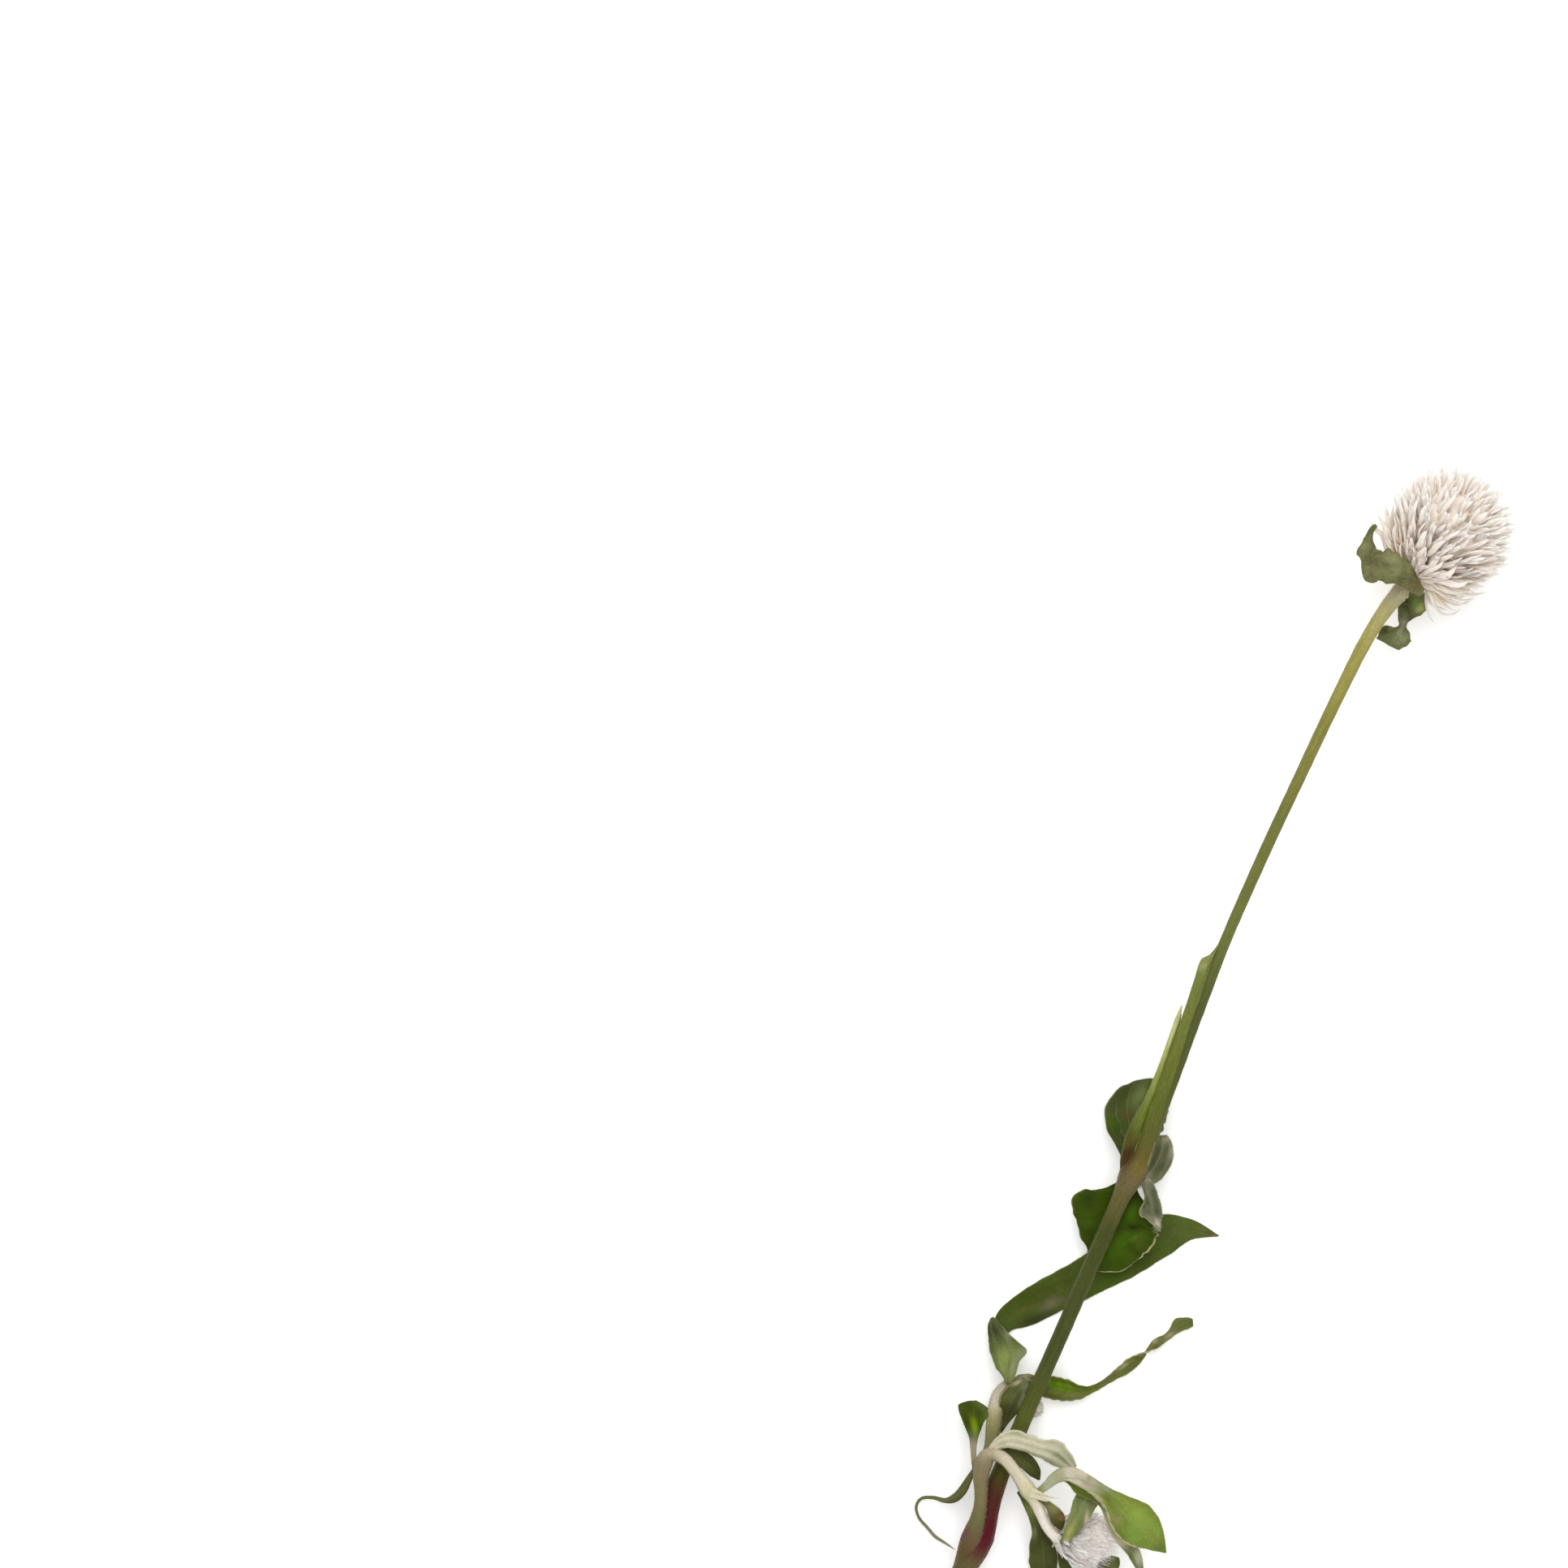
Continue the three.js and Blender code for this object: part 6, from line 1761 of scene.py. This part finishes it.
    def build(self) -> None:
        """Builds the stalks, the bud, the leaves and their hairs."""
        coat = HairCoat("shoot_b_hairs", WHITE_HAIR)
        rods = (
            Rod(
                "shoot_b_stalk", BACK_STALK, self.stalk, ("stalk_b",), sides=24, ribs=6, seed=12,
                hairs_per_mm=70,
                washes=(
                    Patch(-21.4, -66.2, 1.1, 1.2, 0xBAB09C, 2.6),
                    Patch(-20.6, -63.4, 1, 0.9, 0xB4AB92, 1.6),
                    Patch(-18.2, -69.6, 1, 0.6, 0x7A7848, 1.6))),
            Rod(
                "bud_stalk", BACK_STALK, self.bud_stalk, sides=12, ribs=4, seed=13, first=12,
                hairs_per_mm=50),
        )
        for rod in rods:
            rod.build()
            rod.hairs(coat)
        FlowerHead(
            "bud_b", BUD_BRACT, centre=(-11.3, -64.5, 2.35), radius=2.5, core=1.9, axis=(0.95, -0.2, 0.0),
            pairs=44, length=1.9, width=0.6, height=0.4, lowest=-0.6, jitter=0.25, seed=37,
        ).build()
        for leaf in self.leaves:
            leaf.build()
            leaf.hairs(coat)
        rng = np.random.default_rng(41)
        out = unit(rng.normal(0, 1, (700, 3)))
        coat.plant(np.array([-11.3, -64.5, 2.6]) + out * 1.9, out, rng.uniform(0.4, 0.9, 700))
        coat.build()


@dataclass
class ShootA:
    """The drooping side shoot: stalk, small head, curled dry leaf and nine leaves."""

    stalk: Rows = (
        (-12, -104, 6.4, 1.3, 0.9), (-12.3, -100.6, 7.5, 1.9, 1.3), (-12.8, -96.4, 8.9, 2, 1.5),
        (-13.3, -92.6, 9.4, 1.7, 1.4), (-14, -89.6, 9.6, 1.45, 1.35), (-15.2, -86.4, 9.7, 1.45, 1.4),
        (-16.5, -83.6, 9.7, 1.75, 1.6), (-17.1, -81, 9.8, 2.05, 1.8), (-17.1, -78.8, 10.4, 1.95, 1.7),
        (-15.9, -77.4, 11.5, 1.5, 1.25), (-13.4, -77.4, 12.2, 1.4, 1.2), (-10.6, -78.7, 12.1, 1.35, 1.2),
        (-8.2, -80.1, 11.6, 1.5, 1.2), (-5.8, -81.6, 11, 1.9, 1.6), (-3.2, -83.2, 10.4, 1.5, 1.35),
        (-0.6, -85.5, 9.6, 1.3, 1.2), (2.2, -87.8, 8.8, 1.25, 1.15), (5.4, -89.2, 8.1, 1.25, 1.1),
        (8, -88.9, 7.6, 1, 0.9),
    )
    thread: Rows = (
        (-18.4, -81.8, 8.2, 0.4, 0.4), (-18.5, -83.6, 7.3, 0.6, 0.5), (-18.6, -86, 6.2, 0.85, 0.5),
        (-18.8, -88.6, 5, 1.05, 0.5), (-19.7, -90.8, 4.1, 0.95, 0.5), (-21.4, -92.2, 3.2, 0.6, 0.45),
        (-24, -92.7, 2.2, 0.42, 0.38), (-26.4, -94, 1.1, 0.36, 0.34), (-26.8, -96.2, 0.5, 0.32, 0.32),
        (-25.2, -98.3, 0.7, 0.32, 0.32), (-22.6, -99.5, 1.5, 0.34, 0.32), (-20.2, -100.6, 2.2, 0.38, 0.32),
        (-17.6, -101, 2.8, 0.3, 0.26), (-14.8, -101.5, 3.2, 0.05, 0.05),
    )
    node_bracts: tuple[Rows, ...] = (      # the small pale spikes at the shoot's own node
        ((-5.2, -81.4, 12.2, 0.8, 0.4), (-3.2, -81.2, 12.4, 0.45, 0.3), (-1.4, -81.2, 12.4, 0.28, 0.2),
         (0.4, -80.9, 12.3, 0.2, 0.15), (1.8, -80.3, 12.2, 0.04, 0.04)),
        ((-5, -82.4, 12, 0.9, 0.4), (-2.8, -82.2, 12.2, 0.6, 0.3), (-1.2, -82.2, 12.2, 0.35, 0.2),
         (0.4, -82, 12.2, 0.05, 0.05)),
    )

    leaves: tuple[LeafBlade, ...] = (
        LeafBlade(
            "shoot_a_leaf_arch", SILVER_LEAF, wave=(0.15, 2.5, 0.2), seed=14, fringe=15, down=3,
            fringe_length=0.45, folds=(0.28, 1.33, -0.2), crumple=0.15, ragged=0.05,
            rows=(
                (-17.2, -77, 11.4, 0.6, 0.6, 0, 0), (-15.7, -74.3, 12.3, 1.6, 1.5, 0, -20),
                (-13.4, -72.5, 12.6, 2.2, 2.1, 0, -30), (-10.5, -72, 12.2, 2, 2.1, 0, -34),
                (-7, -71.9, 11.1, 2, 2.1, 0, -34), (-3.6, -71.8, 9.8, 3.1, 2.5, 0, -30),
                (-0.6, -72.3, 8.2, 2.3, 2.3, 0, -20), (2.4, -73.3, 7, 0.9, 0.9, 0, -6)),
            washes=(
                Patch(-3.6, -69.6, 0.9, 0.9, 0xB5AE98, 3.4, 8),
                Patch(-1.4, -71.8, 0.9, 0.9, 0x8A9270, 3, 170),
                Patch(-13, -70.8, 0.8, 0.7, 0x929478, 2, 0),
                Patch(-3.4, -74.4, 0.5, 0.9, 0x868650, 4, 176), Patch(-15, -74.6, 1, 0.6, 0x8C8C70),
                Patch(-9, -74, 0.5, 0.5, 0x9A9674, 4, 0))),
        LeafBlade(
            "shoot_a_leaf_under", DARK_LEAF, wave=(0.15, 2, 0.0), seed=15,
            rows=(
                (-16.8, -77.6, 9.6, 0.7, 0.7, 0, 0), (-14.6, -76.1, 9.5, 1.3, 1.2, 0, 8),
                (-11.4, -75.8, 9.4, 1.7, 1.8, 0, 12), (-8.2, -76.2, 9.1, 1.9, 1.9, 0, 12),
                (-5.6, -77.5, 8.5, 1.4, 1.5, 0, 8), (-3.9, -78.8, 8, 0.2, 0.2, 0, 0)),
            washes=(
                Patch(-10, -76.6, 1.2, 0.6, 0x575E30, 3, 170), Patch(-14.4, -76, 1.2, 0.6, 0x3C3E1C),
                Patch(-9, -75, 0.8, 0.6, 0x45481C, 3, 175))),
        LeafBlade(
            "shoot_a_leaf_outer", LIME_LEAF, wave=(0.15, 2.5, 0.8), seed=16, fringe=9, ragged=0.02,
            crumple=0.2, folds=(0.1, 1.5, 0.2), rims=((1.0, 0.08, 0.36, 0.14), (1.0, 0.34, 0.88, 0.28)),
            rows=(
                (-3.2, -81, 12, 0.8, 0.8, 0, 0), (-2, -78.6, 13.2, 1, 1, 0, 14),
                (-1.1, -76.4, 14, 1.4, 1.3, 0, 18), (1.2, -74.7, 14.4, 2.1, 1.3, 0, 10),
                (5, -74.4, 14.6, 1.8, 1.7, 0, -6), (9.4, -75, 14.6, 1.7, 1.8, 0, -8),
                (13, -76.1, 14.3, 2.7, 2.3, 0, -8), (16.4, -77.5, 13.7, 4.4, 4, 0, -10),
                (20.4, -78.9, 12.7, 5.2, 4.8, 0, -10), (24.6, -80.3, 11.3, 3.7, 3.2, 0, -10),
                (29.2, -82.1, 9.5, 0.12, 0.12, 0, -4)),
            washes=(
                Patch(-1.9, -78, 1.6, 1.2, 0xA9AA8C, 1.8), Patch(-0.9, -76.2, 1.2, 0.9, 0x9C9E82),
                Patch(3, -74, 2.2, 1.6, 0xC4BAA4, 1.6, 0), Patch(6.8, -74.6, 1.6, 1.2, 0xAFA68E, 1.4, 0),
                Patch(9.8, -74.2, 1.5, 1, 0x8C8E6E, 1.5, 0),
                Patch(11.6, -76, 1.2, 1, 0x626E22, 1.6, 160),
                Patch(8.6, -76.7, 0.5, 1, 0xC2B890, 4, 175),
                Patch(19.6, -76.8, 2, 0.8, 0x8AA240, 1.6, 160),
                Patch(15.2, -79.4, 1.1, 0.9, 0x8A8254, 1.5, 130),
                Patch(17.6, -82.2, 1.1, 0.8, 0x5F7028, 2, 150), Patch(5.8, -73.4, 0.6, 0.9, 0x8F8A6A, 1),
                Patch(14, -77.4, 1.2, 0.6, 0x68762C, 1.4, 130), Patch(27.4, -81.6, 1.4, 0.8, 0x5E6E34),
                Patch(16, -73.9, 0.6, 0.8, 0x7A7A30, 5, 0), Patch(24.8, -78, 1.4, 0.5, 0x7A9436, 1.6, 130),
                Patch(5.6, -74.6, 0.3, 0.7, 0x88886C, 8, 176), Patch(2, -75.1, 0.25, 0.6, 0x8E8E72, 9, 20),
                Patch(20.6, -81, 1.6, 0.6, 0x7C973A, 1.6, 160))),
        LeafBlade(
            "shoot_a_leaf_strip", PALE_LEAF, wave=(0.1, 2, 0.4), seed=17, fringe=10, folds=(0.12, 1.0, 0.0),
            rows=(
                (-3.2, -81, 10.8, 0.5, 0.5, 0, 0), (-1.9, -78.4, 12, 0.6, 0.6, 0, 10),
                (-0.4, -76.2, 12.6, 0.6, 0.6, 0, 12), (2.4, -75.9, 12.8, 0.8, 0.8, 0, 12),
                (5.2, -76.8, 12.6, 1, 1.3, 0, 12), (8.4, -77, 12.4, 1, 0.9, 0, 12),
                (11.2, -77.6, 12.3, 0.9, 0.9, 0, 12), (13.4, -79.4, 12.2, 0.9, 1, 0, 12),
                (15.4, -81.8, 11.8, 0.9, 1, 0, 12), (18.6, -83.7, 10.8, 1, 1, 0, 14),
                (22.2, -85.2, 8.9, 1.7, 1.3, 0, 10), (25.6, -88.4, 7.4, 0.9, 0.7, 0, 0)),
            washes=(
                Patch(14.4, -80.8, 2.4, 1.1, 0xBFB79E, 1.6, 140),
                Patch(24, -85.6, 1.3, 1, 0xB2B294, 1.7, 125), Patch(-2, -79, 2, 0.9, 0xA5A588),
                Patch(4.6, -76.9, 1.5, 1.5, 0x5C6C14, 2.2, 165),
                Patch(21.6, -86, 0.8, 1, 0x5C6C2C, 3.2, 140),
                Patch(18.2, -83.7, 1.1, 1.1, 0xC0B99E, 2, 155))),
        LeafBlade(
            "shoot_a_leaf_hanging", DARK_LEAF, wave=(0.2, 2.5, 0.6), seed=18,
            rows=(
                (-7.2, -82.8, 9.2, 0.8, 0.7, 0, 0), (-5, -84.3, 8.4, 1, 0.9, 0, 8),
                (-2, -86.8, 7.4, 1.1, 1.1, 0, 14), (0.8, -89.2, 6.3, 1.9, 1.9, 0, 16),
                (3, -92.2, 5, 2.8, 3.2, 0, 12), (5, -96, 3.2, 3.2, 3.3, 0, 8),
                (6.6, -100, 1.4, 2.2, 2.2, 0, 4), (7.4, -103.6, 0.4, 0.3, 0.3, 0, 0)),
            washes=(
                Patch(-3.2, -85.4, 1.1, 1, 0x7C8444, 2.4, 132), Patch(2.6, -91, 1.8, 0.7, 0x3C4218),
                Patch(-6.2, -84, 0.8, 0.7, 0x565840), Patch(0, -90.2, 0.6, 0.7, 0x77754E, 2.6, 112),
                Patch(3.4, -95, 1.8, 0.5, 0x4C5426, 1.5, 100))),
        LeafBlade(
            "shoot_a_leaf_small", DARK_LEAF, wave=(0.1, 1.5, 0.0), seed=19,
            rows=(
                (-3, -82.4, 12, 0.5, 0.4, 0, 0), (0, -82.9, 12.1, 0.9, 0.8, 0, 14),
                (2, -84, 11.7, 1.6, 1.6, 0, 16), (3.6, -85.3, 11, 1.7, 1.6, 0, 14),
                (4.6, -86.4, 10.5, 0.9, 0.9, 0, 8), (5.1, -87.1, 10.2, 0.2, 0.2, 0, 0)),
            washes=(
                Patch(1.4, -83.2, 1.7, 0.9, 0x857E52), Patch(4, -84.3, 0.7, 1, 0x82603A, 1.6, 40),
                Patch(4.3, -86, 1, 0.9, 0x4C4A18), Patch(2.2, -85.4, 0.8, 0.5, 0x565A2C))),
        LeafBlade(
            "shoot_a_leaf_left", BRIGHT_LEAF, wave=(0.15, 2, 0.3), seed=20, crumple=0.2, ragged=0.03,
            rows=(
                (-18.4, -82.4, 9, 0.6, 0.6, 0, 0), (-19.8, -80, 8.6, 0.65, 0.6, 0, 8),
                (-20.8, -77.8, 8, 0.8, 0.7, 0, 16), (-21.5, -76, 7.5, 1.1, 1, 0, 24),
                (-22.3, -74.2, 7, 1.9, 1.75, 0, 28), (-23.1, -72.6, 6.5, 2.7, 2.7, 0, 26),
                (-23.8, -71, 6, 3.4, 4.3, 0, 22), (-24.2, -69.8, 5.5, 3.6, 3.2, 0, 16),
                (-24.5, -69, 5.2, 2.9, 1.7, 0, 10), (-24.8, -68.4, 5.1, 1.2, 0.5, 0, 6)),
            washes=(
                Patch(-22.6, -73.4, 0.7, 1.5, 0x6E8600, 2.8, 122),
                Patch(-23.4, -70.4, 1.8, 0.8, 0x36430A, 1.6, 0),
                Patch(-26.2, -71.4, 1.2, 0.7, 0x3A4A0C, 1.5, 130),
                Patch(-20.2, -79, 1.5, 1.3, 0x958E72, 2, 118),
                Patch(-22.6, -68.9, 0.9, 0.9, 0x526026, 2.6, 165), Patch(-20.6, -70.4, 0.9, 0.9, 0x56632A),
                Patch(-24.4, -73.6, 0.7, 0.9, 0x2F3800, 2.6, 130))),
        LeafBlade(
            "head_a_bract_upper", PALE_LEAF, wave=(0.12, 2, 0.7), seed=21, fringe=9, crumple=0.2,
            rows=(
                (6.4, -89.8, 10.2, 0.5, 0.6, 0, 0), (6.6, -87.4, 13.2, 1, 1.5, 0, -8),
                (6.8, -84.6, 14.8, 1.6, 2.1, 0, -10), (7.1, -82, 14, 2.1, 2.5, 0, -12),
                (7.3, -79.6, 12.2, 2.7, 2.7, 0, -10), (7.6, -77.4, 10.4, 2.5, 2.9, 0, -6)),
            washes=(
                Patch(6.8, -86.4, 0.9, 1.1, 0xA2A65A, 2.4), Patch(7.2, -80, 2, 0.8, 0x6E7C50),
                Patch(6.6, -83, 1.2, 0.7, 0x78824E, 1.8), Patch(9.4, -82.6, 0.5, 0.9, 0xB6AE98, 5, 112),
                Patch(7.2, -88.8, 0.8, 1, 0xBCC08A))),
        LeafBlade(
            "head_a_bract_lower", DARK_LEAF, wave=(0.15, 2, 0.2), seed=22,
            rows=(
                (6.6, -90.8, 6.2, 0.7, 0.7, 0, 0), (9.6, -94.6, 5, 1.2, 1.3, 10, 16),
                (13, -96.4, 4.6, 2, 2, 14, 20), (16.6, -94.6, 4.8, 2.4, 2.3, 12, 20),
                (18.4, -91.8, 5.2, 2.4, 2.2, 8, 14), (18.9, -89.6, 5.6, 2.2, 2.2, 4, 8),
                (18.6, -87.9, 5.8, 1.5, 1.5, 0, 4)),
            washes=(Patch(19.4, -90, 1.8, 0.8, 0x68703C),)),
    )

    def build(self) -> None:
        """Builds the stalks, the small head, the leaves and their hairs."""
        coat = HairCoat("shoot_a_hairs", WHITE_HAIR)
        rods = (
            Rod(
                "shoot_a_stalk", SHOOT_STALK, self.stalk, ("stalk_a",), sides=28, pitch=1.0, ribs=7,
                depth=0.02, seed=23, hairs_per_mm=90, hair_length=(0.2, 0.55),
                washes=(
                    Patch(-6, -81.2, 1.8, 0.9, 0xC8C294), Patch(-5.2, -82.6, 1, 0.7, 0xC6C48E),
                    Patch(-16, -78.9, 1.1, 0.7, 0x6E6642, 1.4, 0),
                    Patch(-17.6, -77.2, 0.9, 0.7, 0xA39A7C, 1.6, 45),
                    Patch(-14.9, -97, 0.7, 0.9, 0x5E2830, 3), Patch(-12.2, -98.4, 1.6, 0.3, 0x704838, 0.7),
                    Patch(-12.8, -103, 2.4, 0.8, 0x5A5224, 0.8))),
            Rod(
                "curled_leaf_thread", THREAD, self.thread, ("curled_leaf",), sides=14, pitch=0.9, ribs=3,
                depth=0.1, seed=24, hairs_per_mm=22, washes=(Patch(-18.2, -86.4, 0.5, 0.7, 0x6E6834, 5),)),
        )
        for rod in rods:
            rod.build()
            rod.hairs(coat)
        FlowerHead(
            "head_a", SILKY_BRACT, centre=(11.7, -87, 7.2), radius=7.2, core=5.2, axis=(0.9, 0.25, 0.1),
            pairs=210, length=6.2, width=1.15, height=0.4, lowest=-0.9, jitter=1.9, spread=30, skirt=30,
            arch=0.14, curl=0.1, seed=23, rust=((8.6, -90.8, 1.3), (11.2, -83.4, 0.9)),
        ).build()
        for k, rows in enumerate(self.node_bracts):
            Rod(
                f"node_bract_{k + 1}", SHOOT_STALK, rows, sides=10, pitch=0.5, ribs=2, first=38, seed=25 + k,
            ).build()
        for leaf in self.leaves:
            leaf.build()
            leaf.hairs(coat)
        rng = np.random.default_rng(42)
        out = unit(rng.normal(0, 1, (2600, 3)) + (0.1, 0.1, 0.6))
        roots = np.array([11.7, -87, 7.2]) + out * rng.uniform(5.4, 6.8, 2600)[:, None]
        silk = HairCoat("head_a_silk", PAPER_FIBRE, 0.03)
        silk.plant(roots, out * 0.35 + (0.9, 0.3, 0.1), rng.uniform(1.0, 2.6, 2600))
        silk.build()
        coat.build()



# Camera, light and floor


@dataclass(frozen=True)
class Camera:
    """Looks straight down, turned so that the stem leans as it does in the photograph."""

    centre: tuple[float, float] = (-121.8, 42.65)
    field_width: float = 357.4        # seen at the height of the stem
    height: float = 11.0              # of the stem above the surface
    turn: float = 24.0
    lens: float = 200.0
    sensor: float = 36.0

    def build(self) -> None:
        """Makes the camera and gives it to the scene."""
        data = bpy.data.cameras.new("camera")
        data.lens, data.sensor_width = self.lens, self.sensor
        data.clip_start, data.clip_end = 0.01, 20.0
        away = self.field_width * self.lens / self.sensor + self.height
        camera = bpy.data.objects.new("camera", data)
        camera.location = (self.centre[0] * MM, self.centre[1] * MM, away * MM)
        camera.rotation_euler = (0, 0, math.radians(self.turn))
        bpy.context.scene.collection.objects.link(camera)
        bpy.context.scene.camera = camera


@dataclass(frozen=True)
class Studio:
    """A plain white floor under soft light."""

    floor_radius: float = 6.0
    key_power: float = 20.0
    key_size: float = 1.6
    key_place: tuple[float, float, float] = (-0.45, 0.75, 1.5)
    fill_power: float = 6.5
    fill_size: float = 1.6
    fill_place: tuple[float, float, float] = (0.9, -0.5, 1.2)
    sky: float = 0.56
    glow: float = 0.25                # of the floor, which is lit from below like a light table

    def light(self, name: str, place: tuple[float, float, float], power: float, size: float) -> None:
        """Adds a square light that faces the plant.

        Args:
            name: The light's name.
            place: Where it is, in metres.
            power: Its power in watts.
            size: Its side, in metres.
        """
        data = bpy.data.lights.new(name, "AREA")
        data.energy, data.size = power, size
        lamp = bpy.data.objects.new(name, data)
        lamp.location = place
        lamp.rotation_euler = (-Vector(place)).to_track_quat("-Z", "Y").to_euler()
        bpy.context.scene.collection.objects.link(lamp)

    def build(self) -> None:
        """Makes the floor, the lights and the sky."""
        floor = start(bpy.ops.mesh.primitive_circle_add, "floor", vertices=96, radius=self.floor_radius,
                      fill_type="NGON")
        s = Sketch("floor_paper")
        grain = s.noise(s.place(), 40.0, 1.0)
        floor.data.materials.append(
            s.finish(s.mix(grain, 0xF9F9F8, 0xFCFCFB), 0.9, s.bump(grain, 0.0), Specular_IOR_Level=0.1,
                     Emission_Color=(1.0, 1.0, 1.0, 1.0), Emission_Strength=self.glow))
        self.light("key_light", self.key_place, self.key_power, self.key_size)
        self.light("fill_light", self.fill_place, self.fill_power, self.fill_size)
        world = bpy.data.worlds.new("studio")
        world.use_nodes = True
        backdrop = world.node_tree.nodes["Background"]
        backdrop.inputs["Color"].default_value = (1.0, 1.0, 1.0, 1.0)
        backdrop.inputs["Strength"].default_value = self.sky
        scene = bpy.context.scene
        scene.world = world
        scene.view_settings.view_transform = "Standard"
        scene.cycles.use_denoising = True


def main() -> None:
    """Builds the camera, the plant's sub-assemblies in order, and the studio."""
    logging.basicConfig(level=logging.INFO, format="%(name)s: %(message)s")
    Camera().build()
    for assembly in (MainStem(), MainHead(), UpperNode(), ShootB(), ShootA()):
        LOG.info("building %s", type(assembly).__name__)
        assembly.build()
    Studio().build()


if __name__ == "__main__":
    main()
